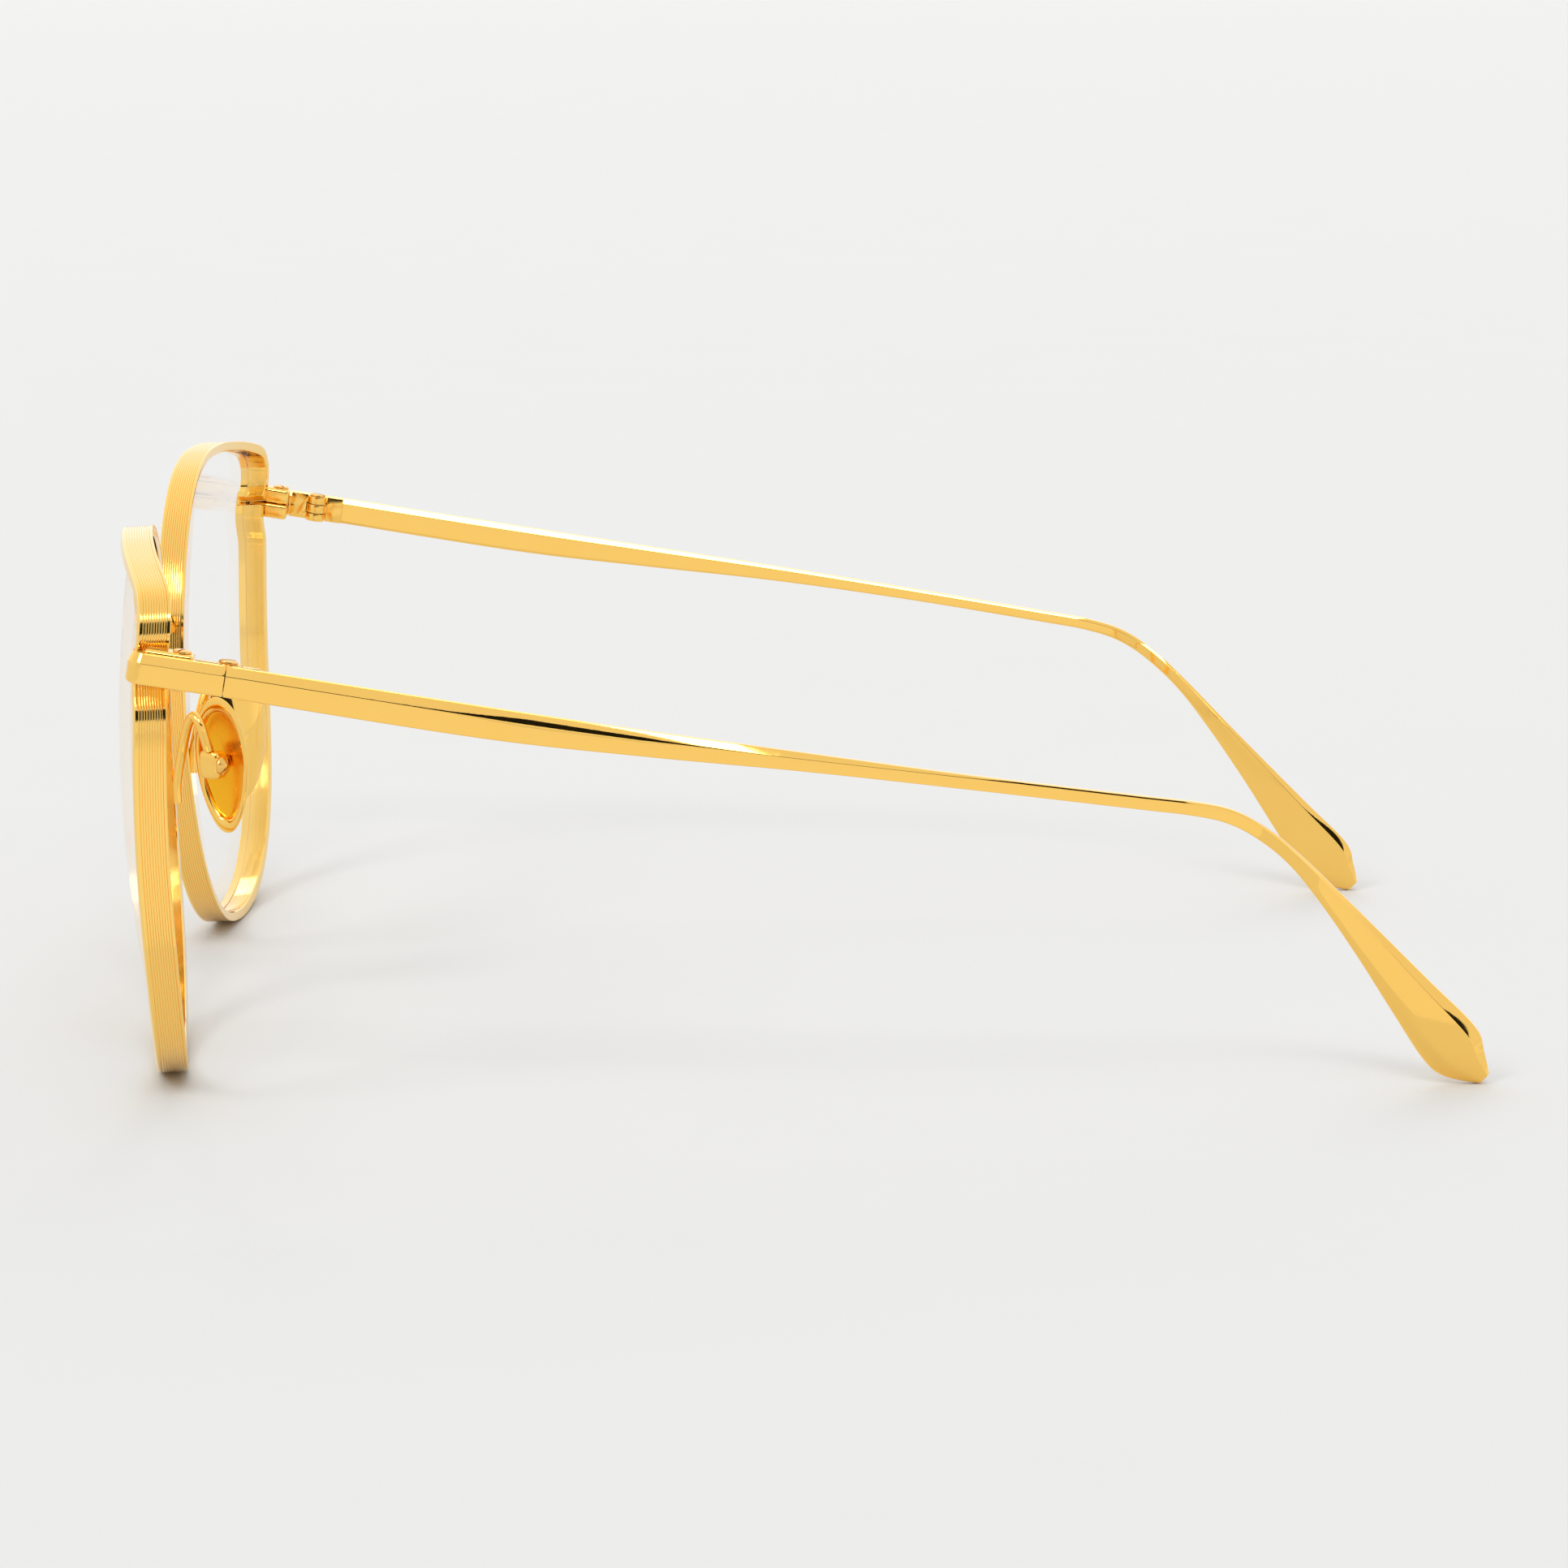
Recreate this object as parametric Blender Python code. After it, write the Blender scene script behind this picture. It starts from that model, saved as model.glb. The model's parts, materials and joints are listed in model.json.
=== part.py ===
"""Full-rim cat-eye spectacles in polished metal, resting open on a table.

Frame: +X is the wearer's left, the lenses face -Y, the temples run back to +Y, +Z is up.
The rims and both temple tips stand on Z = 0, and the origin is below the middle of the object.
Every size below is in millimetres and is turned into metres where a mesh or curve is made.
The left side is modelled, and the right side is its mirror image across X = 0.
"""
from math import cos, hypot, pi, radians, sin

import bmesh
import bpy
from mathutils import Matrix, Vector

MM = 0.001

# ---- rims and lenses ------------------------------------------------------------------------
LENS_CENTRE = (36.6, -70.05, 28.5)
WRAP_DEG = 4.9            # each lens is turned back towards its temple
TILT_DEG = 2.4            # and leans forward at the top
BASE_RADIUS = 135.0       # curve of the lens and of the rim that follows it
RIM_DEPTH = 3.2           # front to back
RIM_BEVEL = 0.4
RIM_WALL = 1.1
GROOVE_DEPTH = 0.5
GROOVE_WIDTH = 1.8
LENS_THICKNESS = 1.2
LENS_EDGE_GAP = 0.2       # all round, between the lens and the floor of its groove
LENS_STEPS = 28           # around the lens before its outline is cut
LENS_RINGS = 8            # from its middle out to its edge
RIM_STEPS = 3             # stations between two outline points

# Outline of one rim seen from the front, from the split beside the endpiece and on over the
# cat-eye corner, the brow, the nose side, the chin and back up to the split.
OUTLINE = (
    (27.0, 18.1), (27.3, 19.8), (28.1, 21.4), (27.7, 23.3), (24.6, 25.2), (19.2, 26.3), (12.5, 27.2),
    (5.0, 27.8), (-4.0, 27.7), (-12.4, 26.1), (-19.6, 22.2), (-24.9, 15.9), (-27.6, 8.2), (-28.2, 0.0),
    (-27.3, -8.0), (-24.3, -15.5), (-19.2, -21.7), (-12.2, -26.0), (-4.2, -28.1), (4.2, -28.5),
    (12.4, -26.8), (19.4, -22.6), (24.5, -16.2), (27.4, -8.4), (28.6, 0.0), (28.9, 7.0), (28.6, 12.6),
    (27.7, 14.9), (27.1, 16.4), (27.0, 17.8),
)

# ---- hinge and temple -----------------------------------------------------------------------
PIVOT = (65.95, -56.9, 45.6)
TEMPLE_SLOPE_DEG = 8.95   # the temples fall towards their tips, and the hinges lean with them
STRIP_IN = 1.35           # inner face of the endpiece and temple, measured out from the pivot
STRIP_OUT = 2.55
STRIP_HALF_HEIGHT = 1.55
KNUCKLE_RADIUS = 1.15
KNUCKLE_SWEEP = 1.32      # clearance radius that each leaf cuts for the other's knuckle
MIDDLE_HALF = 0.5         # half height of the temple's knuckle
AXIAL_GAP = 0.12
BORE_RADIUS = 0.7
SCREW_RADIUS = 0.62
LEAF_HALF_HEIGHT = 1.5
LEAF_LENGTH = 3.2
PLATE_IN = 0.4            # the leaf's plate lies along the strip between these two
PLATE_OUT = 1.07
JOINT_GAP = 0.15          # half of the line between the endpiece and the temple

# Upper and lower edges of the temple, as (Y, Z) pairs from the hinge to the tip.
TEMPLE_TOP = (
    (-32.0, 43.1), (-16.0, 40.55), (0.5, 38.0), (17.0, 35.4), (33.0, 32.95), (39.0, 32.0), (43.2, 30.8),
    (47.0, 28.4), (50.8, 25.0), (55.0, 20.8), (59.8, 16.0), (65.0, 10.8), (69.8, 6.0), (70.8, 3.3), (71.3, 1.1),
)
TEMPLE_BOTTOM = (
    (-32.3, 39.95), (-16.3, 38.0), (0.3, 36.2), (16.8, 34.0), (32.8, 31.6), (38.7, 30.65), (42.6, 29.5),
    (46.0, 27.4), (49.6, 24.1), (53.2, 19.5), (57.2, 13.7), (61.3, 7.8), (65.1, 2.6), (67.2, 0.9), (70.2, 0.0),
)
# Outer face of the temple, as (Y, X) pairs: bowed a little, then turned in behind the ear.
TEMPLE_SIDE = (
    (-56.9, 68.5), (-32.0, 68.6), (-16.0, 68.4), (0.5, 67.6), (17.0, 66.0), (33.0, 63.5), (39.0, 62.2),
    (44.5, 59.8), (49.0, 56.4), (53.5, 53.0), (58.0, 51.2), (64.0, 50.6), (72.0, 50.4),
)
TEMPLE_STEPS = 3
TOP_FACET = 0.32          # part of the strip's height that its upper facets take
INNER_FACET = 0.22        # and the narrower one along its inner face
TOP_LAND = (0.3, 0.68)    # part of its thickness left flat on top, counted from the inner face
EDGE_BREAK = 0.12         # part of its thickness taken off the lower edges
EDGE_RISE = 0.07          # and of its height

# ---- endpiece, closing block, bridge ---------------------------------------------------------
ENDPIECE_FRONT = -9.75    # front face, along the temple's own axis from the pivot
ENDPIECE_CORNER = 1.9
ENDPIECE_RETURN = -1.75   # how far in its front end reaches, from the pivot
BLOCK_OUT = 1.2           # outer face of the closing block, from the pivot
BLOCK_IN = -1.6
BLOCK_FRONT = -8.2
BLOCK_BACK = -3.4
BLOCK_HALF_HEIGHT = 1.85
BLOCK_HALF_GAP = 0.12
BLOCK_BEVEL = 0.25
LOCK_SCREW_AT = (0.0, -4.6)
HEAD_RADIUS = 1.0
HEAD_HEIGHT = 0.42
HEAD_BEVEL = 0.15
HEAD_CLEARANCE = 0.07     # under each screw head
SCREW_END = 0.1           # how far a screw's end stands out below
BRIDGE_POINTS = ((9.2, -69.5, 39.6), (5.6, -69.8, 41.4), (0.0, -69.9, 42.2))
BRIDGE_DEPTH = 2.8
BRIDGE_HEIGHT = 2.0

# ---- nose pads ------------------------------------------------------------------------------
PAD_PIVOT = (11.7, -63.3, 27.3)
PAD_SPLAY_DEG = 37.0
PAD_LEAN_DEG = 12.0
PAD_HALF_HEIGHT = 7.5
PAD_HALF_WIDTH = 3.7
PAD_DEPTH = 1.5
PAD_WALL = 0.7
PAD_LIP = 0.45            # depth of the straight edge around the dish
PAD_LIP_WIDTH = 0.1       # its width, as part of the dish's radius
PAD_EGG = 0.16            # how much wider the top is than the middle
PAD_STEPS = 24
PAD_RINGS = 4
PAD_BELOW_PIVOT = 0.9
PAD_OFFSET = 3.1          # from the rocking axis to the pad's crown
BOX_HALF = (1.35, 1.05, 1.5)
BOX_BEVEL = 0.3
BOX_BACK = 0.45           # wall left behind the slot
SLOT_HALF = 0.6
POST_HALF = (0.42, 0.65)
POST_BACK = -0.45
POST_BEVEL = 0.12
POST_GAP = 0.42           # between the post's end and the middle of the dish
PAD_SCREW_RADIUS = 0.36
PAD_BORE_RADIUS = 0.45
ARM_RADIUS = 0.55
ARM_POINTS = (
    (9.4, -66.95, 22.6), (9.4, -66.95, 25.2), (9.95, -66.7, 28.4), (11.0, -66.1, 31.3), (12.1, -65.3, 32.7),
    (12.9, -64.5, 31.9), (12.6, -64.0, 30.2), (12.2, -63.7, 28.95),
)

GOLD = (0.98, 0.78, 0.36)
GOLD_INNER = (0.93, 0.62, 0.16)
SCREW_GOLD = (0.86, 0.66, 0.30)
CLEAR = (0.95, 0.97, 0.98)


# ---- scene and material helpers -------------------------------------------------------------
def clear_scene():
    for old in list(bpy.data.objects):
        bpy.data.objects.remove(old, do_unlink=True)


def new_collection(name):
    made = bpy.data.collections.new(name)
    bpy.context.scene.collection.children.link(made)
    return made


def material(name, colour, metallic, roughness, transmission=0.0):
    made = bpy.data.materials.new(name)
    made.use_nodes = True
    shader = made.node_tree.nodes["Principled BSDF"]
    shader.inputs["Base Color"].default_value = (*colour, 1.0)
    shader.inputs["Metallic"].default_value = metallic
    shader.inputs["Roughness"].default_value = roughness
    shader.inputs["Transmission Weight"].default_value = transmission
    made.diffuse_color = (*colour, 1.0)
    return made


def smooth(mesh):
    mesh.shade_smooth()
    mesh.set_sharp_from_angle(angle=radians(32))


def part(name, mesh, colour, metallic=1.0, roughness=0.15, transmission=0.0, place=Matrix(), parent=None):
    """One named node with a material of its own."""
    made = bpy.data.objects.new(name, mesh)
    mesh.materials.clear()
    mesh.materials.append(material(name, colour, metallic, roughness, transmission))
    PARTS.objects.link(made)
    if parent is not None:
        made.parent = parent
        made.matrix_parent_inverse = Matrix()
        place = parent.matrix_world.inverted() @ place
    made.matrix_local = place
    return made


def cutter(name, mesh, place=Matrix()):
    made = bpy.data.objects.new(name, mesh)
    made.hide_render = True
    made.display_type = "WIRE"
    CUTTERS.objects.link(made)
    made.matrix_local = place
    return made


def cut(target, tool, operation="DIFFERENCE"):
    step = target.modifiers.new(tool.name, "BOOLEAN")
    step.operation = operation
    step.solver = "EXACT"
    step.object = tool


def evaluated_mesh(source):
    """The object's mesh with its modifiers applied, in world space."""
    bpy.context.view_layer.update()
    graph = bpy.context.evaluated_depsgraph_get()
    mesh = bpy.data.meshes.new_from_object(source.evaluated_get(graph))
    mesh.transform(source.matrix_world)
    return mesh


def axis_empty(name, frame):
    made = bpy.data.objects.new(name, None)
    made.empty_display_size = 5 * MM
    GUIDES.objects.link(made)
    made.matrix_world = frame
    return made


def frame_at(origin, x_axis, y_axis, z_axis):
    turned = Matrix((x_axis, y_axis, z_axis)).transposed().to_4x4()
    return Matrix.Translation(Vector(origin) * MM) @ turned


# ---- mesh and curve helpers -----------------------------------------------------------------
def box_mesh(low, high, bevel=0.0):
    bm = bmesh.new()
    size = [(b - a) * MM for a, b in zip(low, high)]
    middle = [(a + b) / 2 * MM for a, b in zip(low, high)]
    bmesh.ops.create_cube(bm, size=1.0, matrix=Matrix.Translation(middle) @ Matrix.Diagonal((*size, 1.0)))
    if bevel:
        bmesh.ops.bevel(bm, geom=bm.edges[:], offset=bevel * MM, segments=2, profile=0.5,
                        affect="EDGES", material=-1)
    return finish(bm)


def cylinder_mesh(stages, sides=24):
    """A shape turned about Z, from (radius, height) stages that begin and end on the axis."""
    bm = bmesh.new()
    profile = [bm.verts.new((radius * MM, 0.0, height * MM)) for radius, height in stages]
    for a, b in zip(profile, profile[1:]):
        bm.edges.new((a, b))
    bmesh.ops.spin(bm, geom=bm.verts[:] + bm.edges[:], cent=(0, 0, 0), axis=(0, 0, 1),
                   angle=2 * pi, steps=sides, use_merge=True)
    bmesh.ops.remove_doubles(bm, verts=bm.verts, dist=1e-6)
    bmesh.ops.recalc_face_normals(bm, faces=bm.faces)
    return finish(bm)


def screw_mesh(seat, shank_radius, end, head_radius=HEAD_RADIUS, sides=24):
    """A cheese-headed screw along Z, whose head sits just above the seat."""
    under = seat + HEAD_CLEARANCE
    top = under + HEAD_HEIGHT
    return cylinder_mesh(((0, top), (head_radius - HEAD_BEVEL, top), (head_radius, top - HEAD_BEVEL),
                          (head_radius, under), (shank_radius, under), (shank_radius, end), (0, end)), sides)


def bore_mesh(radius, sides=24):
    """A long round cutter for a hole along Z."""
    reach = 4.0
    return cylinder_mesh(((0, reach), (radius, reach), (radius, -reach), (0, -reach)), sides)


def finish(bm):
    mesh = bpy.data.meshes.new("shape")
    bm.to_mesh(mesh)
    bm.free()
    smooth(mesh)
    return mesh


def flat_curve(loops, half_thickness):
    """A 2D outline, with any further loops as holes, extruded both ways and made a mesh."""
    curve = bpy.data.curves.new("outline", "CURVE")
    curve.dimensions = "2D"
    curve.fill_mode = "BOTH"
    curve.extrude = half_thickness * MM
    for loop in loops:
        spline = curve.splines.new("POLY")
        spline.points.add(len(loop) - 1)
        for point, (x, y) in zip(spline.points, loop):
            point.co = (x * MM, y * MM, 0.0, 1.0)
        spline.use_cyclic_u = True
    return curve_to_mesh(curve)


def curve_to_mesh(curve, place=Matrix()):
    """Turn a curve into a closed mesh, with its caps welded on."""
    holder = bpy.data.objects.new("curve", curve)
    GUIDES.objects.link(holder)
    holder.matrix_world = place
    bpy.context.view_layer.update()
    graph = bpy.context.evaluated_depsgraph_get()
    mesh = bpy.data.meshes.new_from_object(holder.evaluated_get(graph))
    mesh.transform(holder.matrix_world)
    bpy.data.objects.remove(holder, do_unlink=True)
    bm = bmesh.new()
    bm.from_mesh(mesh)
    bmesh.ops.remove_doubles(bm, verts=bm.verts, dist=1e-6)
    bmesh.ops.recalc_face_normals(bm, faces=bm.faces)
    bm.to_mesh(mesh)
    bm.free()
    smooth(mesh)
    return mesh


def wire_mesh(points, radius):
    """A round wire with flat ends along the points."""
    curve = bpy.data.curves.new("wire", "CURVE")
    curve.dimensions = "3D"
    curve.bevel_depth = radius * MM
    curve.bevel_resolution = 2
    curve.use_fill_caps = True
    spline = curve.splines.new("POLY")
    spline.points.add(len(points) - 1)
    for point, place in zip(spline.points, points):
        point.co = (*(value * MM for value in place), 1.0)
    return curve_to_mesh(curve)


def swept_mesh(points, profile):
    """A profile of (outward, forward) points swept along a path around local Z."""
    shape = bpy.data.curves.new("profile", "CURVE")
    shape.dimensions = "2D"
    section = shape.splines.new("POLY")
    section.points.add(len(profile) - 1)
    for point, (x, y) in zip(section.points, profile):
        point.co = (x * MM, y * MM, 0.0, 1.0)
    section.use_cyclic_u = True
    guide = bpy.data.objects.new("profile", shape)
    GUIDES.objects.link(guide)
    curve = bpy.data.curves.new("sweep", "CURVE")
    curve.dimensions = "3D"
    curve.twist_mode = "Z_UP"
    curve.bevel_mode = "OBJECT"
    curve.bevel_object = guide
    curve.use_fill_caps = True
    spline = curve.splines.new("POLY")
    spline.points.add(len(points) - 1)
    for point, place in zip(spline.points, points):
        point.co = (*(value * MM for value in place), 1.0)
    mesh = curve_to_mesh(curve)
    bpy.data.objects.remove(guide, do_unlink=True)
    return mesh


def loft_mesh(sections):
    """A closed skin over sections that each have the same number of points, with flat ends."""
    bm = bmesh.new()
    rings = [[bm.verts.new([value * MM for value in point]) for point in section] for section in sections]
    for ring, following in zip(rings, rings[1:]):
        for k in range(len(ring)):
            after = (k + 1) % len(ring)
            bm.faces.new((ring[k], ring[after], following[after], following[k]))
    bm.faces.new(rings[0])
    bm.faces.new(rings[-1])
    bmesh.ops.recalc_face_normals(bm, faces=bm.faces)
    return finish(bm)


def through(points, steps):
    """A smooth Catmull-Rom path through the points, with the given steps between neighbours."""
    last = len(points) - 1
    path = []
    for k in range(last):
        near = [points[min(max(k + j, 0), last)] for j in (-1, 0, 1, 2)]
        for step in range(steps):
            t = step / steps
            path.append(tuple(
                0.5 * (2 * b + (c - a) * t + (2 * a - 5 * b + 4 * c - d) * t * t
                       + (3 * b - a - 3 * c + d) * t ** 3)
                for a, b, c, d in zip(*near)))
    path.append(tuple(points[-1]))
    return path


def inset(path, distance):
    """The plane path moved inwards, along its own normals, by the distance."""
    moved = []
    for k, (x, y) in enumerate(path):
        before = path[max(k - 1, 0)]
        after = path[min(k + 1, len(path) - 1)]
        along = Vector((after[0] - before[0], after[1] - before[1])).normalized()
        moved.append((x - along.y * distance, y + along.x * distance))
    return moved


def mirrored(source, name, parent=None):
    """The same piece on the wearer's right, as a node of its own."""
    mesh = evaluated_mesh(source)
    place = parent.matrix_world if parent is not None else Matrix()
    bm = bmesh.new()
    bm.from_mesh(mesh)
    bmesh.ops.scale(bm, vec=(-1, 1, 1), verts=bm.verts)
    bmesh.ops.reverse_faces(bm, faces=bm.faces)
    bm.transform(place.inverted())
    bm.to_mesh(mesh)
    bm.free()
    smooth(mesh)
    shader = source.data.materials[0].node_tree.nodes["Principled BSDF"]
    return part(name, mesh, tuple(shader.inputs["Base Color"].default_value)[:3],
                shader.inputs["Metallic"].default_value, shader.inputs["Roughness"].default_value,
                shader.inputs["Transmission Weight"].default_value, place, parent)


# ---- frames of reference --------------------------------------------------------------------
def lens_frame():
    """Local x runs out to the temple, y up the lens and z forward, out of its front."""
    out = Vector((cos(radians(WRAP_DEG)), sin(radians(WRAP_DEG)), 0))
    lean = Matrix.Rotation(radians(TILT_DEG), 3, "X")
    outward = lean @ out
    up = lean @ Vector((0, 0, 1))
    return frame_at(LENS_CENTRE, outward, up, outward.cross(up))


def hinge_frame(side):
    """Local y runs along the temple and z up the hinge screw."""
    slope = radians(TEMPLE_SLOPE_DEG)
    origin = (side * PIVOT[0], PIVOT[1], PIVOT[2])
    return frame_at(origin, (1, 0, 0), (0, cos(slope), -sin(slope)), (0, sin(slope), cos(slope)))


def pad_frame(side):
    """Local x runs along the pad's screw, y towards the nose and z up."""
    splay = radians(PAD_SPLAY_DEG)
    origin = (side * PAD_PIVOT[0], PAD_PIVOT[1], PAD_PIVOT[2])
    screw = Vector((side * sin(splay), cos(splay), 0))
    nose = Vector((-side * cos(splay), sin(splay), 0))
    return frame_at(origin, screw, nose, screw.cross(nose))


# ---- rims and lenses ------------------------------------------------------------------------
def on_base_curve(u, v):
    return -(u * u + v * v) / (2 * BASE_RADIUS)


def rim_path():
    """The rim's outline without its sag, from one end of the split round to the other."""
    return through(OUTLINE, RIM_STEPS)


def make_rim(frame):
    half = RIM_DEPTH / 2
    groove = GROOVE_WIDTH / 2
    wall = -RIM_WALL
    profile = (
        (wall, -groove), (wall, -half), (-RIM_BEVEL, -half), (0, -half + RIM_BEVEL), (0, half - RIM_BEVEL),
        (-RIM_BEVEL, half), (wall, half), (wall, groove), (wall + GROOVE_DEPTH, groove),
        (wall + GROOVE_DEPTH, -groove),
    )
    path = [(u, v, on_base_curve(u, v)) for u, v in rim_path()]
    return part("rim_left", swept_mesh(path, profile), GOLD, place=frame)


def make_lens(frame):
    """A curved disc, turned about the lens axis, kept only inside the rim's groove."""
    edge = inset(rim_path(), RIM_WALL - GROOVE_DEPTH + LENS_EDGE_GAP)
    reach = max(hypot(u, v) for u, v in edge) + 3.0
    radii = [reach * k / LENS_RINGS for k in range(LENS_RINGS + 1)]
    front = [(r, on_base_curve(r, 0) + LENS_THICKNESS / 2) for r in radii]
    back = [(r, z - LENS_THICKNESS) for r, z in reversed(front)]
    lens = part("lens_left", cylinder_mesh(front + back, LENS_STEPS), CLEAR, 0.0, 0.02, 0.95, frame)
    keep = cutter("lens_outline", flat_curve([edge], 20.0), frame)
    cut(lens, keep, "INTERSECT")
    return lens


# ---- endpiece and closing block -------------------------------------------------------------
def strip_section():
    """Section of the endpiece and temple, as parts of their thickness and height."""
    return ((EDGE_BREAK, 0), (1 - EDGE_BREAK, 0), (1, EDGE_RISE), (1, 1 - TOP_FACET), (TOP_LAND[1], 1),
            (TOP_LAND[0], 1), (0, 1 - INNER_FACET), (0, EDGE_RISE))


def make_endpiece(frame):
    """A strip that starts in front of the rim, turns the corner and runs back to the hinge."""
    inner = STRIP_IN
    outer = STRIP_OUT
    corner_out = ENDPIECE_CORNER
    corner_in = ENDPIECE_CORNER - (outer - inner)
    centre = (outer - corner_out, ENDPIECE_FRONT + corner_out)
    outside = [(ENDPIECE_RETURN, ENDPIECE_FRONT)]
    inside = [(ENDPIECE_RETURN, ENDPIECE_FRONT + outer - inner)]
    for k in range(7):
        turn = radians(-90 + 15 * k)
        outside.append((centre[0] + corner_out * cos(turn), centre[1] + corner_out * sin(turn)))
        inside.append((centre[0] + corner_in * cos(turn), centre[1] + corner_in * sin(turn)))
    outside.append((outer, -JOINT_GAP))
    inside.append((inner, -JOINT_GAP))
    sections = []
    for (x0, y0), (x1, y1) in zip(inside, outside):
        sections.append([(x0 + (x1 - x0) * across, y0 + (y1 - y0) * across, STRIP_HALF_HEIGHT * (2 * height - 1))
                         for across, height in strip_section()])
    return part("endpiece_left", loft_mesh(sections), GOLD, place=frame)


def make_closing_blocks(frame):
    """The barrel that joins the rim's two ends: an upper and a lower half, held by one screw."""
    at = frame @ Matrix.Translation((LOCK_SCREW_AT[0] * MM, LOCK_SCREW_AT[1] * MM, 0))
    made = []
    for name, low, high in (("upper", BLOCK_HALF_GAP, BLOCK_HALF_HEIGHT),
                            ("lower", -BLOCK_HALF_HEIGHT, -BLOCK_HALF_GAP)):
        mesh = box_mesh((BLOCK_IN, BLOCK_FRONT, low), (BLOCK_OUT, BLOCK_BACK, high), BLOCK_BEVEL)
        block = part(f"closing_block_{name}_left", mesh, GOLD, roughness=0.2, place=frame)
        cut(block, cutter(f"lock_hole_{name}", bore_mesh(BORE_RADIUS), at))
        made.append(block)
    screw = screw_mesh(BLOCK_HALF_HEIGHT, SCREW_RADIUS, -BLOCK_HALF_HEIGHT - SCREW_END)
    made.append(part("rim_lock_screw_left", screw, SCREW_GOLD, roughness=0.25, place=at))
    return made


# ---- hinge ----------------------------------------------------------------------------------
def leaf_outline(way):
    """Plan of one hinge leaf: a round knuckle, an arm and a plate along the strip."""
    arc = [(KNUCKLE_RADIUS * cos(turn), way * KNUCKLE_RADIUS * sin(turn))
           for turn in (radians(90 + 18 * k) for k in range(15))]
    length = way * LEAF_LENGTH
    return [*arc, (PLATE_OUT, way * AXIAL_GAP), (PLATE_OUT, length), (PLATE_IN, length),
            (PLATE_IN, way * KNUCKLE_RADIUS)]


def make_hinge_leaf(name, way, frame, parent=None):
    bore = [(BORE_RADIUS * cos(2 * pi * k / 24), BORE_RADIUS * sin(2 * pi * k / 24)) for k in range(24)]
    leaf = part(name, flat_curve([leaf_outline(way), bore], LEAF_HALF_HEIGHT), GOLD, roughness=0.2,
                place=frame, parent=parent)
    free = MIDDLE_HALF + AXIAL_GAP
    spans = ((-free, free),) if way < 0 else ((MIDDLE_HALF, 4.0), (-4.0, -MIDDLE_HALF))
    for k, (low, high) in enumerate(spans):
        stages = ((0, high), (KNUCKLE_SWEEP, high), (KNUCKLE_SWEEP, low), (0, low))
        cut(leaf, cutter(f"{name}_clearance_{k}", cylinder_mesh(stages, 32), frame))
    return leaf


def make_hinge_screw(frame):
    screw = screw_mesh(LEAF_HALF_HEIGHT, SCREW_RADIUS, -LEAF_HALF_HEIGHT - SCREW_END)
    return part("hinge_screw_left", screw, SCREW_GOLD, roughness=0.25, place=frame)


# ---- temple ---------------------------------------------------------------------------------
def temple_side(y):
    """How far out the temple's outer face is at a given Y."""
    path = through(TEMPLE_SIDE, 6)
    for (y0, x0), (y1, x1) in zip(path, path[1:]):
        if y <= y1:
            return x0 + (x1 - x0) * (y - y0) / (y1 - y0)
    return path[-1][1]


def make_temple(frame, parent):
    """A slim bar that tapers, bends down behind the ear and widens into a kite-shaped tip."""
    slope = radians(TEMPLE_SLOPE_DEG)
    start = []
    for height in (STRIP_HALF_HEIGHT, -STRIP_HALF_HEIGHT):
        start.append((PIVOT[1] + JOINT_GAP * cos(slope) + height * sin(slope),
                      PIVOT[2] - JOINT_GAP * sin(slope) + height * cos(slope)))
    upper = through((start[0], *TEMPLE_TOP), TEMPLE_STEPS)
    lower = through((start[1], *TEMPLE_BOTTOM), TEMPLE_STEPS)
    thick = STRIP_OUT - STRIP_IN
    sections = []
    for (top_y, top_z), (low_y, low_z) in zip(upper, lower):
        section = []
        for across, height in strip_section():
            y = low_y + (top_y - low_y) * height
            section.append((temple_side(y) - thick * (1 - across), y, low_z + (top_z - low_z) * height))
        sections.append(section)
    mesh = loft_mesh(sections)
    mesh.transform(frame.inverted())
    return part("temple_left", mesh, GOLD, roughness=0.1, place=frame, parent=parent)


# ---- bridge and nose pads -------------------------------------------------------------------
def make_bridge():
    """A low saddle between the rims, wider than it is tall."""
    half = [*BRIDGE_POINTS]
    points = through(half + [(-x, y, z) for x, y, z in reversed(half[:-1])], 5)
    sections = []
    for k, place in enumerate(points):
        before = Vector(points[max(k - 1, 0)])
        after = Vector(points[min(k + 1, len(points) - 1)])
        along = (after - before).normalized()
        deep = Vector((0, 1, 0))
        deep = (deep - deep.dot(along) * along).normalized()
        tall = along.cross(deep)
        sections.append([Vector(place) + deep * cos(a) * BRIDGE_DEPTH / 2 + tall * sin(a) * BRIDGE_HEIGHT / 2
                         for a in (2 * pi * j / 12 for j in range(12))])
    return part("bridge", loft_mesh(sections), GOLD, roughness=0.12)


def make_pad_arm():
    return part("pad_arm_left", wire_mesh(through(ARM_POINTS, 4), ARM_RADIUS), GOLD, roughness=0.15)


def make_pad_box(frame):
    along, deep, tall = BOX_HALF
    mesh = box_mesh((-along, -deep, -tall), (along, deep, tall), BOX_BEVEL)
    box = part("pad_box_left", mesh, GOLD, roughness=0.2, place=frame)
    slot = box_mesh((-SLOT_HALF, BOX_BACK - deep, -2 * tall), (SLOT_HALF, 2 * deep, 2 * tall))
    cut(box, cutter("pad_slot", slot, frame))
    turned = frame @ Matrix.Rotation(pi / 2, 4, "Y")
    cut(box, cutter("pad_box_bore", bore_mesh(PAD_BORE_RADIUS, 16), turned))
    screw = screw_mesh(along, PAD_SCREW_RADIUS, -along, sides=20)
    return box, part("pad_screw_left", screw, SCREW_GOLD, roughness=0.25, place=turned)


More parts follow.
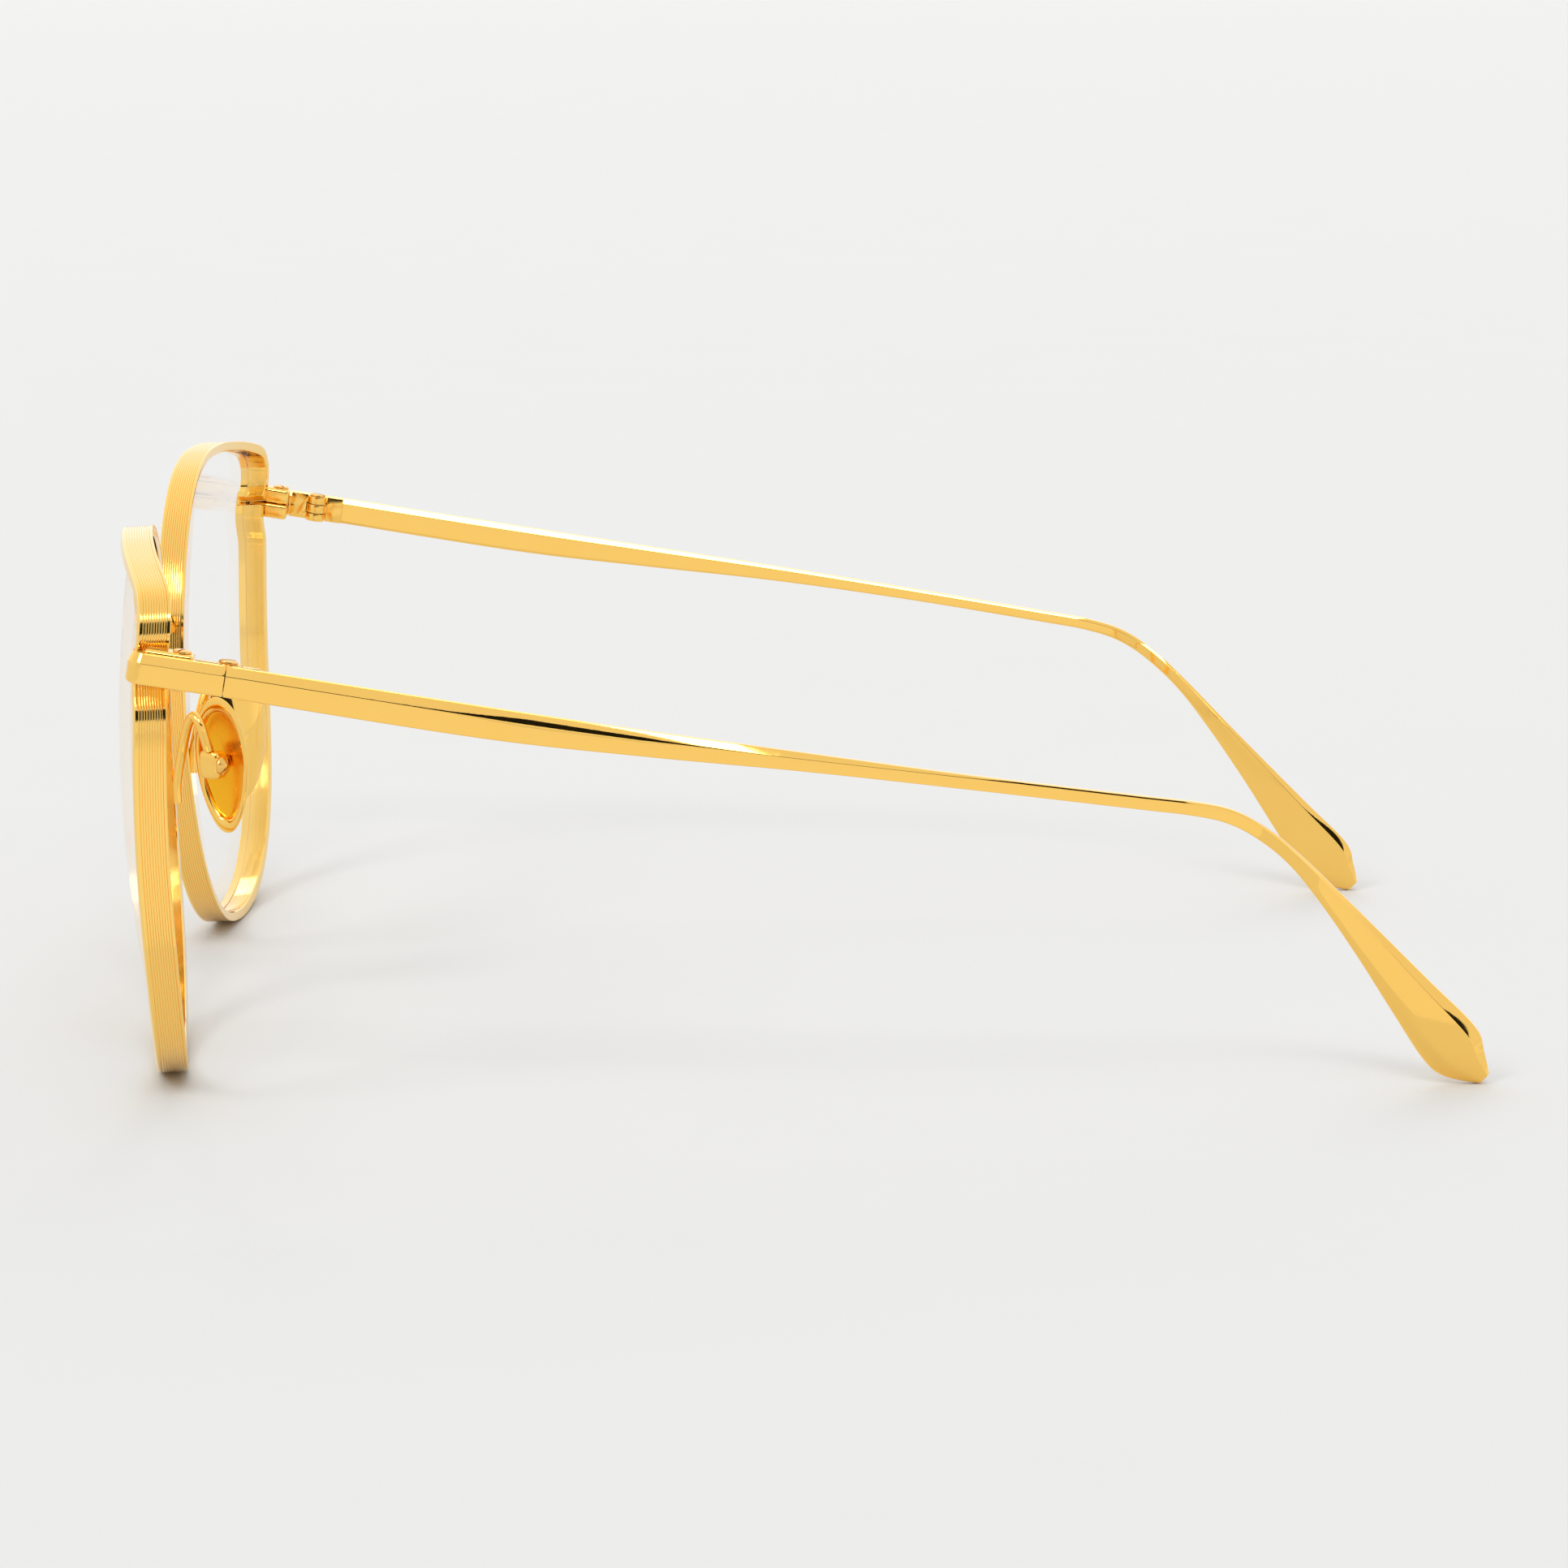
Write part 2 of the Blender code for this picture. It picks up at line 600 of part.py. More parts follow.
def make_nose_pad(frame, parent):
    """A thin dish, convex towards the nose, egg-shaped with its wider end up."""
    shares = [k / PAD_RINGS for k in range(PAD_RINGS + 1)]
    outer = [(r, PAD_DEPTH * (1 - r * r)) for r in shares]
    inside = 1 - PAD_LIP_WIDTH
    inner = [(inside * r, (PAD_DEPTH - PAD_WALL + PAD_LIP) * (1 - r * r) - PAD_LIP) for r in reversed(shares)]
    mesh = cylinder_mesh([(r / MM, z) for r, z in (*outer, (1.0, -PAD_LIP), *inner)], PAD_STEPS)
    lean = Matrix.Rotation(radians(PAD_LEAN_DEG), 3, "X")
    bm = bmesh.new()
    bm.from_mesh(mesh)
    for vert in bm.verts:
        wide, tall, deep = vert.co
        place = Vector((wide * PAD_HALF_WIDTH * (1 + PAD_EGG * tall), PAD_OFFSET - PAD_DEPTH + deep / MM,
                        tall * PAD_HALF_HEIGHT - PAD_BELOW_PIVOT))
        vert.co = lean @ place * MM
    bmesh.ops.recalc_face_normals(bm, faces=bm.faces)
    bm.to_mesh(mesh)
    bm.free()
    smooth(mesh)
    return part("nose_pad_left", mesh, GOLD_INNER, roughness=0.2, place=frame, parent=parent)


def make_pad_post(frame, parent):
    """The tongue behind the pad that the box's screw passes through."""
    thick, tall = POST_HALF
    front = PAD_OFFSET - PAD_WALL - POST_GAP
    mesh = box_mesh((-thick, POST_BACK, -tall), (thick, front, tall), POST_BEVEL)
    post = part("pad_post_left", mesh, GOLD, roughness=0.2, place=frame, parent=parent)
    bore = bore_mesh(PAD_BORE_RADIUS, 16)
    cut(post, cutter("pad_post_bore", bore, frame @ Matrix.Rotation(pi / 2, 4, "Y")))
    return post


# ---- the assembly ---------------------------------------------------------------------------
clear_scene()
PARTS = new_collection("cat_eye_spectacles")
CUTTERS = new_collection("cutters")
GUIDES = new_collection("guides")

lens_place = lens_frame()
hinge_place = hinge_frame(1)
pad_place = pad_frame(1)
hinge_axis_left = axis_empty("hinge_axis_left", hinge_place)
hinge_axis_right = axis_empty("hinge_axis_right", hinge_frame(-1))
pad_axis_left = axis_empty("pad_axis_left", pad_place)
pad_axis_right = axis_empty("pad_axis_right", pad_frame(-1))
bpy.context.view_layer.update()

fixed = [
    make_rim(lens_place),
    make_lens(lens_place),
    make_endpiece(hinge_place),
    *make_closing_blocks(hinge_place),
    make_hinge_leaf("front_hinge_leaf_left", -1, hinge_place),
    make_hinge_screw(hinge_place),
    make_pad_arm(),
    *make_pad_box(pad_place),
]
on_temple = [
    make_temple(hinge_place, hinge_axis_left),
    make_hinge_leaf("temple_hinge_leaf_left", 1, hinge_place, hinge_axis_left),
]
on_pad = [
    make_nose_pad(pad_place, pad_axis_left),
    make_pad_post(pad_place, pad_axis_left),
]
make_bridge()

for group, other_axis in ((fixed, None), (on_temple, hinge_axis_right), (on_pad, pad_axis_right)):
    for piece in group:
        mirrored(piece, piece.name.replace("_left", "_right"), other_axis)
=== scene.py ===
# %% [markdown]
# # Cat-eye spectacles in polished gold
#
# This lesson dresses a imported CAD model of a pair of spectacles. The CAD model already knows where
# each piece is, how big it is and how it moves. Here each piece gets its finished shape, with soft
# edges, reeding and screw slots, and a metal or glass material.

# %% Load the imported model
import json
from math import cos, exp, hypot, pi, radians, sin, sqrt

import bmesh
import bpy
from mathutils import Matrix, Vector


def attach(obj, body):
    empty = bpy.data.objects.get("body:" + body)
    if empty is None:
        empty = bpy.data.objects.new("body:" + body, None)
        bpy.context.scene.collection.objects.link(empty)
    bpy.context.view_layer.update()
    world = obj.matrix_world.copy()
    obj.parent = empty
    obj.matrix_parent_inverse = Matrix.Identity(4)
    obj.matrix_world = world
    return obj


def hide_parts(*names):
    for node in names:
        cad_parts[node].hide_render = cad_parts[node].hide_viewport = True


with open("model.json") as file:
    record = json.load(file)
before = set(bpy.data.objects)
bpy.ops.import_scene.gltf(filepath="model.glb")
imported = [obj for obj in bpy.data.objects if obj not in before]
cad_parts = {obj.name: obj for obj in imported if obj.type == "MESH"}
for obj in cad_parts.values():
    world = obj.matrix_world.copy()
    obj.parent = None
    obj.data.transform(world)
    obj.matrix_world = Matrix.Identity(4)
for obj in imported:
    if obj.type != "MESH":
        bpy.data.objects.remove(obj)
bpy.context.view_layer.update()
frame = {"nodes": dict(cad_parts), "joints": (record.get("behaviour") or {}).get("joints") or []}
MM = 0.001
SIDES = ("left", "right")

# %% [markdown]
# ## Frames of reference
#
# A lens, a hinge and a nose pad each have a direction of their own, so their pieces are easiest to
# model in local axes. A hinge frame stands on its joint's axis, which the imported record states. A
# lens frame is turned back by the wrap of the front and leans a little at the top.

# %% Local frames for the lens, the hinge and the pad
LENS_CENTRE = Vector((36.6, -70.05, 28.5))
WRAP = radians(4.9)
TILT = radians(2.4)
JOINTS = {joint["name"]: joint for joint in frame["joints"]}


def frame_at(origin, x_axis, y_axis, z_axis):
    """A matrix from local millimetres to metres in the row frame."""
    turned = Matrix((x_axis, y_axis, z_axis)).transposed().to_4x4()
    return Matrix.Translation(origin) @ turned @ Matrix.Scale(MM, 4)


def lens_frame():
    lean = Matrix.Rotation(TILT, 3, "X")
    outward = lean @ Vector((cos(WRAP), sin(WRAP), 0))
    up = lean @ Vector((0, 0, 1))
    return frame_at(LENS_CENTRE * MM, outward, up, outward.cross(up))


def joint_frame(name, across):
    """Local z runs along the joint's axis and local x along the given direction."""
    axis = Vector(JOINTS[name]["axis"])
    return frame_at(Vector(JOINTS[name]["pos_m"]), across, axis.cross(across), axis)


LENS = lens_frame()
HINGE = joint_frame("left_temple_fold", Vector((1, 0, 0)))
pad_screw_axis = Vector(JOINTS["left_pad_rock"]["axis"])
PAD = frame_at(Vector(JOINTS["left_pad_rock"]["pos_m"]), pad_screw_axis,
               Vector((0, 0, 1)).cross(pad_screw_axis), Vector((0, 0, 1)))
print("hinge at", [round(value / MM, 2) for value in HINGE.translation])
print("pad at", [round(value / MM, 2) for value in PAD.translation])

# %% [markdown]
# ## The camera
#
# The spectacles are seen from the wearer's left with a long lens, from a little above. The camera's
# axes are built from one turn about the vertical and one tip downwards, so the horizon stays level.

# %% Camera
CAMERA_AT = Vector((0.5536, -0.0144, 0.1243))
CAMERA_YAW = radians(1.44)
CAMERA_PITCH = radians(10.4)
FOCAL_LENGTH = 115.2
SENSOR = 36.0

level = cos(CAMERA_PITCH)
ahead = Vector((-cos(CAMERA_YAW) * level, sin(CAMERA_YAW) * level, -sin(CAMERA_PITCH)))
right = Vector((sin(CAMERA_YAW), cos(CAMERA_YAW), 0))
camera_data = bpy.data.cameras.new("camera")
camera_data.lens = FOCAL_LENGTH
camera_data.sensor_width = SENSOR
camera_data.clip_start = 0.01
camera = bpy.data.objects.new("camera", camera_data)
camera.matrix_world = (Matrix.Translation(CAMERA_AT)
                       @ Matrix((right, right.cross(ahead), -ahead)).transposed().to_4x4())
bpy.context.scene.collection.objects.link(camera)
bpy.context.scene.camera = camera
print("camera looks down by", round(CAMERA_PITCH * 180 / pi, 1), "degrees")

# %% [markdown]
# ## Lofting and rounding
#
# Most pieces here are bars and rims: one section that travels along a path and slowly changes. A
# curve with a bevel object could do it, but its section can't change. So each station's section is
# drawn as a loop of edges, and `bridge_loops` skins each loop to the next. `rounded` first turns the
# corners of a section into small arcs, because a polished edge is never truly sharp.


# %% Loft and section helpers
def rounded(corners, radii, steps=5):
    """The closed polygon with each corner swapped for an arc of about the given radius."""
    points = []
    count = len(corners)
    for k, corner in enumerate(corners):
        here = Vector(corner)
        back = Vector(corners[k - 1]) - here
        on = Vector(corners[(k + 1) % count]) - here
        reach = min(radii[k], back.length * 0.48, on.length * 0.48)
        start = here + back.normalized() * reach
        end = here + on.normalized() * reach
        for step in range(steps + 1):
            t = step / steps
            points.append((1 - t) ** 2 * start + 2 * t * (1 - t) * here + t * t * end)
    return points


def through(points, steps):
    """A smooth path through the points, with the given steps between neighbours."""
    last = len(points) - 1
    path = []
    for k in range(last):
        near = [points[min(max(k + j, 0), last)] for j in (-1, 0, 1, 2)]
        for step in range(steps):
            t = step / steps
            path.append(Vector([
                0.5 * (2 * b + (c - a) * t + (2 * a - 5 * b + 4 * c - d) * t * t
                       + (3 * b - a - 3 * c + d) * t ** 3)
                for a, b, c, d in zip(*near)]))
    path.append(Vector(points[-1]))
    return path


def loft(rings, capped=True):
    """A skin over rings of equally many points."""
    bm = bmesh.new()
    loops = []
    for ring in rings:
        verts = [bm.verts.new(place) for place in ring]
        loops.append([bm.edges.new(pair) for pair in zip(verts, verts[1:] + verts[:1])])
    for here, there in zip(loops, loops[1:]):
        bmesh.ops.bridge_loops(bm, edges=here + there)
    if capped:
        for loop in (loops[0], loops[-1]):
            bmesh.ops.contextual_create(bm, geom=loop)
    bmesh.ops.recalc_face_normals(bm, faces=bm.faces)
    return bm


def soften(bm, offset, sharper_than=35.0, segments=2):
    """Bevel every edge that turns by more than the given angle."""
    limit = radians(sharper_than)
    edges = [edge for edge in bm.edges if len(edge.link_faces) == 2 and edge.calc_face_angle() > limit]
    bmesh.ops.bevel(bm, geom=edges, offset=offset, offset_type="OFFSET", segments=segments,
                    profile=0.5, affect="EDGES", material=-1, clamp_overlap=True)


def place(bm, matrix):
    bmesh.ops.transform(bm, matrix=matrix, verts=bm.verts)
    return bm


# %% [markdown]
# ## Left and right
#
# Spectacles are symmetric, so only the left pieces are modelled. A mirror image is a scale by -1
# across X, which turns the faces inside out, so they are reversed as well. Each piece then rides on
# its body, gets its material and hides the CAD nodes that it stands for.


# %% Finishing a piece
PIECES = bpy.data.collections.new("pieces")
bpy.context.scene.collection.children.link(PIECES)
SMOOTH_UP_TO = radians(38)


def finished(bm, name, body, finish, nodes):
    mesh = bpy.data.meshes.new(name)
    bm.to_mesh(mesh)
    mesh.shade_smooth()
    mesh.set_sharp_from_angle(angle=SMOOTH_UP_TO)
    for used in finish if isinstance(finish, tuple) else (finish,):
        mesh.materials.append(used)
    piece = bpy.data.objects.new(name, mesh)
    PIECES.objects.link(piece)
    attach(piece, body)
    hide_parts(*nodes)
    return piece


def pair(bm, name, body, slot, finish, nodes):
    """The left piece, and its mirror image on the right."""
    for side in SIDES:
        shape = bm.copy()
        if side == "right":
            bmesh.ops.scale(shape, vec=(-1, 1, 1), verts=shape.verts)
            bmesh.ops.reverse_faces(shape, faces=shape.faces)
        finished(shape, f"{name}_{side}", body.format(side=side), finish,
                 [node.format(side=side) for node in nodes])
        shape.free()
    volume = bm.calc_volume(signed=True) / MM ** 3
    print(name, "has", len(bm.faces), "faces and", round(volume, 2), "cubic mm")
    bm.free()


# %% [markdown]
# ## Gold plating
#
# Gold-plated brass is a metal with a warm base colour and a very low roughness. A perfectly even
# mirror looks like a computer drawing, so a shared node group gives the plating what real polish has:
# a slightly warmer and cooler cloud of colour, smudges that change the roughness, and fine polishing
# lines that run in one direction. Each finish uses the group with its own values.


# %% The plating node group
def group_socket(group, name, way, kind, value=None):
    socket = group.interface.new_socket(name=name, in_out=way, socket_type=kind)
    if value is not None:
        socket.default_value = value


def plating_group():
    group = bpy.data.node_groups.new("plating", "ShaderNodeTree")
    group_socket(group, "Tint", "INPUT", "NodeSocketColor", (1.0, 0.64, 0.16, 1.0))
    group_socket(group, "Warm Tint", "INPUT", "NodeSocketColor", (1.0, 0.6, 0.13, 1.0))
    group_socket(group, "Polish", "INPUT", "NodeSocketFloat", 0.05)
    group_socket(group, "Smudge", "INPUT", "NodeSocketFloat", 0.06)
    group_socket(group, "Lines", "INPUT", "NodeSocketFloat", 0.02)
    group_socket(group, "Color", "OUTPUT", "NodeSocketColor")
    group_socket(group, "Roughness", "OUTPUT", "NodeSocketFloat")
    group_socket(group, "Height", "OUTPUT", "NodeSocketFloat")
    nodes = group.nodes
    links = group.links
    given = nodes.new("NodeGroupInput")
    result = nodes.new("NodeGroupOutput")
    where = nodes.new("ShaderNodeTexCoord")

    clouds = nodes.new("ShaderNodeTexNoise")
    clouds.inputs["Scale"].default_value = 160.0
    clouds.inputs["Detail"].default_value = 3.0
    links.new(where.outputs["Object"], clouds.inputs["Vector"])
    tints = nodes.new("ShaderNodeMix")
    tints.data_type = "RGBA"
    links.new(clouds.outputs["Fac"], tints.inputs["Factor"])
    links.new(given.outputs["Tint"], tints.inputs["A"])
    links.new(given.outputs["Warm Tint"], tints.inputs["B"])
    links.new(tints.outputs["Result"], result.inputs["Color"])

    smears = nodes.new("ShaderNodeTexNoise")
    smears.inputs["Scale"].default_value = 420.0
    smears.inputs["Detail"].default_value = 5.0
    smears.inputs["Distortion"].default_value = 0.6
    links.new(where.outputs["Object"], smears.inputs["Vector"])
    only_high = nodes.new("ShaderNodeMapRange")
    only_high.inputs["From Min"].default_value = 0.45
    only_high.inputs["From Max"].default_value = 0.8
    links.new(smears.outputs["Fac"], only_high.inputs["Value"])
    amount = nodes.new("ShaderNodeMath")
    amount.operation = "MULTIPLY_ADD"
    links.new(only_high.outputs["Result"], amount.inputs[0])
    links.new(given.outputs["Smudge"], amount.inputs[1])
    links.new(given.outputs["Polish"], amount.inputs[2])
    links.new(amount.outputs["Value"], result.inputs["Roughness"])

    drawn_out = nodes.new("ShaderNodeMapping")
    drawn_out.inputs["Scale"].default_value = (9000.0, 300.0, 9000.0)
    links.new(where.outputs["Object"], drawn_out.inputs["Vector"])
    strokes = nodes.new("ShaderNodeTexNoise")
    strokes.inputs["Scale"].default_value = 1.0
    strokes.inputs["Detail"].default_value = 2.0
    links.new(drawn_out.outputs["Vector"], strokes.inputs["Vector"])
    height = nodes.new("ShaderNodeMath")
    height.operation = "MULTIPLY"
    links.new(strokes.outputs["Fac"], height.inputs[0])
    links.new(given.outputs["Lines"], height.inputs[1])
    links.new(height.outputs["Value"], result.inputs["Height"])
    return group


PLATING = plating_group()
print("plating group has", len(PLATING.nodes), "nodes")


# %% [markdown]
# ## The metal finishes
#
# The same plating covers everything, but it is polished differently. Temples and endpieces are
# mirrors. Reeded rims are a touch softer, because a buffing wheel can't reach the bottom of the
# reeds. Hinge leaves and blocks are softer again, screws are a darker gold, and the dish of a nose
# pad is the dullest, with a deep amber colour that is painted shade of light bouncing in its hollow.


# %% Gold finishes
def gold(name, tint, warm_tint, polish, smudge, lines):
    made = bpy.data.materials.new(name)
    made.use_nodes = True
    tree = made.node_tree
    shader = tree.nodes["Principled BSDF"]
    shader.inputs["Metallic"].default_value = 1.0
    plating = tree.nodes.new("ShaderNodeGroup")
    plating.node_tree = PLATING
    plating.inputs["Tint"].default_value = (*tint, 1.0)
    plating.inputs["Warm Tint"].default_value = (*warm_tint, 1.0)
    plating.inputs["Polish"].default_value = polish
    plating.inputs["Smudge"].default_value = smudge
    plating.inputs["Lines"].default_value = lines
    tree.links.new(plating.outputs["Color"], shader.inputs["Base Color"])
    tree.links.new(plating.outputs["Roughness"], shader.inputs["Roughness"])
    bump = tree.nodes.new("ShaderNodeBump")
    bump.inputs["Strength"].default_value = 0.12
    bump.inputs["Distance"].default_value = 0.01 * MM
    tree.links.new(plating.outputs["Height"], bump.inputs["Height"])
    tree.links.new(bump.outputs["Normal"], shader.inputs["Normal"])
    return made


YELLOW = (1.0, 0.635, 0.16)
WARM_YELLOW = (1.0, 0.605, 0.14)
# Painted light: the reeded rims' paler tint offsets the darker, oranger shade of light bouncing between the
# reeds.
PAINTED_LIGHT_YELLOW = (1.0, 0.67, 0.19)
WARM_PAINTED_LIGHT_YELLOW = (1.0, 0.64, 0.165)
BRASS = (0.93, 0.58, 0.17)
WARM_BRASS = (0.85, 0.5, 0.13)
# Painted shade: the deep amber stands in for light bouncing round the hollow of a nose pad's dish.
PAINTED_SHADE_AMBER = (0.99, 0.52, 0.03)
WARM_PAINTED_SHADE_AMBER = (0.93, 0.4, 0.015)
mirror_gold = gold("mirror_gold", YELLOW, WARM_YELLOW, polish=0.035, smudge=0.05, lines=0.6)
reeded_painted_light_gold = gold("reeded_painted_light_gold", PAINTED_LIGHT_YELLOW, WARM_PAINTED_LIGHT_YELLOW, polish=0.09, smudge=0.06, lines=0.8)
hinge_gold = gold("hinge_gold", YELLOW, WARM_YELLOW, polish=0.12, smudge=0.1, lines=1.0)
screw_gold = gold("screw_gold", BRASS, WARM_BRASS, polish=0.16, smudge=0.12, lines=1.0)
pad_gold = gold("pad_gold", YELLOW, WARM_YELLOW, polish=0.07, smudge=0.08, lines=0.5)
dish_painted_shade_gold = gold("dish_painted_shade_gold", PAINTED_SHADE_AMBER, WARM_PAINTED_SHADE_AMBER, polish=0.2, smudge=0.15, lines=1.0)
print("gold finishes:", [made.name for made in bpy.data.materials if made.name.endswith("gold")])

# %% [markdown]
# ## Lens glass
#
# A spectacle lens without power is a thin shell with parallel faces. It moves what lies behind it by
# a fraction of a millimetre, so it is left unbent with an IOR of 1, and its faint reflection comes
# from a clear coat instead, like the coating on a real lens. A path tracer would still give it a
# dark shadow, and count the sky's light twice behind it. So a Transparent shader takes over for
# shadow rays and diffuse rays, which Light Path picks out.


# %% Lens material
def lens_glass():
    made = bpy.data.materials.new("lens_glass")
    made.use_nodes = True
    tree = made.node_tree
    shader = tree.nodes["Principled BSDF"]
    shader.inputs["Metallic"].default_value = 0.0
    shader.inputs["Roughness"].default_value = 0.0
    shader.inputs["IOR"].default_value = 1.0
    shader.inputs["Transmission Weight"].default_value = 1.0
    shader.inputs["Coat Weight"].default_value = 0.4
    shader.inputs["Coat Roughness"].default_value = 0.0
    shader.inputs["Coat IOR"].default_value = 1.35
    where = tree.nodes.new("ShaderNodeTexCoord")
    wiped = tree.nodes.new("ShaderNodeTexNoise")
    wiped.inputs["Scale"].default_value = 90.0
    tree.links.new(where.outputs["Object"], wiped.inputs["Vector"])
    tints = tree.nodes.new("ShaderNodeMix")
    tints.data_type = "RGBA"
    tints.inputs["A"].default_value = (1.0, 1.0, 1.0, 1.0)
    tints.inputs["B"].default_value = (0.99, 0.988, 0.982, 1.0)
    tree.links.new(wiped.outputs["Fac"], tints.inputs["Factor"])
    tree.links.new(tints.outputs["Result"], shader.inputs["Base Color"])
    clear = tree.nodes.new("ShaderNodeBsdfTransparent")
    path = tree.nodes.new("ShaderNodeLightPath")
    unseen = tree.nodes.new("ShaderNodeMath")
    unseen.operation = "MAXIMUM"
    tree.links.new(path.outputs["Is Shadow Ray"], unseen.inputs[0])
    tree.links.new(path.outputs["Is Diffuse Ray"], unseen.inputs[1])
    either = tree.nodes.new("ShaderNodeMixShader")
    tree.links.new(unseen.outputs["Value"], either.inputs["Fac"])
    tree.links.new(shader.outputs["BSDF"], either.inputs[1])
    tree.links.new(clear.outputs["BSDF"], either.inputs[2])
    tree.links.new(either.outputs["Shader"], tree.nodes["Material Output"].inputs["Surface"])
    return made


lens_clear = lens_glass()
print("lens material has", len(lens_clear.node_tree.nodes), "nodes")

# %% [markdown]
# ## The reeded rims
#
# Each rim is a deep band with nine fine reeds around it, a plain strip in front of them and a
# narrower one behind. The reeds are real geometry, half-round ridges a quarter of a millimetre
# apart, because their small highlights are what the eye sees first. The band follows the lens's
# curve, and it is split beside the endpiece.

# %% Rim path
BASE_RADIUS = 135.0
OUTLINE = (
    (27.0, 18.1), (27.65, 18.9), (28.05, 20.0), (27.95, 21.4), (27.2, 23.1), (24.8, 25.0), (19.2, 26.3),
    (12.5, 27.2), (5.0, 27.8), (-4.0, 27.7), (-12.4, 26.1), (-19.6, 22.2), (-24.9, 15.9), (-27.6, 8.2),
    (-28.2, 0.0), (-27.3, -8.0), (-24.3, -15.5), (-19.2, -21.7), (-12.2, -26.0), (-4.2, -28.1), (4.2, -28.5),
    (12.4, -26.8), (19.4, -22.6), (24.5, -16.2), (27.4, -8.4), (28.6, 0.0), (28.9, 7.0), (28.6, 12.6),
    (27.7, 14.9), (27.1, 16.4), (27.0, 17.8),
)
RIM_STEPS = 10


def sag(u, v):
    return -(u * u + v * v) / (2 * BASE_RADIUS)


def outward_normals(path):
    """At each point of the plane path, the direction away from the lens."""
    normals = []
    for k in range(len(path)):
        along = path[min(k + 1, len(path) - 1)] - path[max(k - 1, 0)]
        along.normalize()
        normals.append(Vector((-along.y, along.x)))
    return normals


rim_path = through(OUTLINE, RIM_STEPS)
rim_normals = outward_normals(rim_path)
if rim_normals[0].x < 0:
    rim_normals = [-normal for normal in rim_normals]
around = sum((b - a).length for a, b in zip(rim_path, rim_path[1:]))
print("a rim is", round(around, 1), "mm around, from", len(rim_path), "stations")

# %% Rim section
RIM_HALF = 1.6
RIM_WALL = 1.1
REEDS = 9
REED_PITCH = 0.26
REED_DEPTH = 0.08
REED_FRONT = 1.12
REED_PROFILE = (-1.0, -0.85, -0.5, 0.0, 0.5, 0.85)


def rim_section():
    """(outward, forward) points round the band, from the back of its groove."""
    section = [(-0.98, -0.64), (-RIM_WALL, -0.68), (-RIM_WALL, -1.5), (-1.0, -RIM_HALF), (-0.2, -RIM_HALF),
               (-0.06, -1.56), (0.0, -1.48), (0.0, REED_FRONT - REEDS * REED_PITCH - 0.03)]
    for reed in range(REEDS, 0, -1):
        middle = REED_FRONT - (reed - 0.5) * REED_PITCH
        for share in REED_PROFILE:
            section.append((REED_DEPTH * (sqrt(1 - share * share) - 1), middle + share * REED_PITCH / 2))
    section += [(-REED_DEPTH, REED_FRONT), (-0.03, REED_FRONT + 0.04), (0.0, REED_FRONT + 0.1), (0.0, 1.46),
                (-0.05, 1.55), (-0.16, RIM_HALF), (-1.0, RIM_HALF), (-RIM_WALL, 1.5), (-RIM_WALL, 0.68),
                (-0.98, 0.64)]
    return section


section = rim_section()
print("the rim's section has", len(section), "points")

# %% Rims
rings = []
for point, normal in zip(rim_path, rim_normals):
    ring = []
    for out, forward in section:
        u, v = point + normal * out
        ring.append((u, v, sag(u, v) + forward))
    rings.append(ring)
pair(place(loft(rings), LENS), "reeded_rim", "front", "frame_gold", reeded_painted_light_gold, ["rim_{side}"])

# %% [markdown]
# ## The lenses
#
# A lens is a slice of a large sphere, cut to the rim's outline. Rings of the outline, each smaller
# than the last, are lofted over the front and back down the other side, so both faces are true
# curves, and the small last ring on each side is merged into one point at the middle.

# %% Lenses
LENS_INSET = 1.02
LENS_HALF = 0.6
LENS_MIDDLE = 1.2
LENS_RINGS = (0.02, 0.08, 0.17, 0.27, 0.37, 0.47, 0.57, 0.67, 0.76, 0.84, 0.91, 0.96, 0.985, 1.0)

lens_edge = [point - normal * LENS_INSET for point, normal in zip(rim_path, rim_normals)]
rings = []
for share in LENS_RINGS:
    rings.append([(point.x * share, point.y * share, sag(point.x * share, point.y * share) + LENS_HALF)
                  for point in lens_edge])
for ring in list(reversed(rings)):
    rings.append([(x, y, z - 2 * LENS_HALF) for x, y, z in ring])
lens = loft(rings, capped=False)
for side in (1, -1):
    near_middle = [vert for vert in lens.verts
                   if hypot(vert.co.x, vert.co.y) < LENS_MIDDLE and (vert.co.z > 0) == (side > 0)]
    bmesh.ops.pointmerge(lens, verts=near_middle, merge_co=(0, 0, side * LENS_HALF))
bmesh.ops.recalc_face_normals(lens, faces=lens.faces)
pair(place(lens, LENS), "curved_lens", "front", "lens", lens_clear, ["lens_{side}"])

# %% [markdown]
# ## Endpieces
#
# The endpiece is a flat strip with facets along its top, bent round the corner of the front. Its
# section is drawn once, in parts of its thickness and height, and it travels along the bend.

# %% Strip section
STRIP_IN = 1.35
STRIP_OUT = 2.55
STRIP_HALF_HEIGHT = 1.55
STRIP_CORNERS = ((0.12, 0), (0.88, 0), (1, 0.07), (1, 0.35), (1, 0.68), (0.68, 1), (0.3, 1), (0, 0.78),
                 (0, 0.4), (0, 0.07))
SLIM_CORNERS = ((0.12, 0), (0.88, 0), (1, 0.07), (1, 0.4), (1, 0.86), (0.955, 1), (0.17, 1), (0, 0.78),
                (0, 0.42), (0, 0.07))
PADDLE_CORNERS = ((0.2, 0), (0.66, 0), (0.78, 0.03), (1, 0.24), (1, 0.8), (0.62, 0.985), (0.3, 1), (0, 0.86),
                  (0, 0.5), (0, 0.1))
CORNER_RADII = (0.12, 0.12, 0.1, 0.5, 0.08, 0.05, 0.05, 0.04, 0.5, 0.12)
FACET_LINE = 4
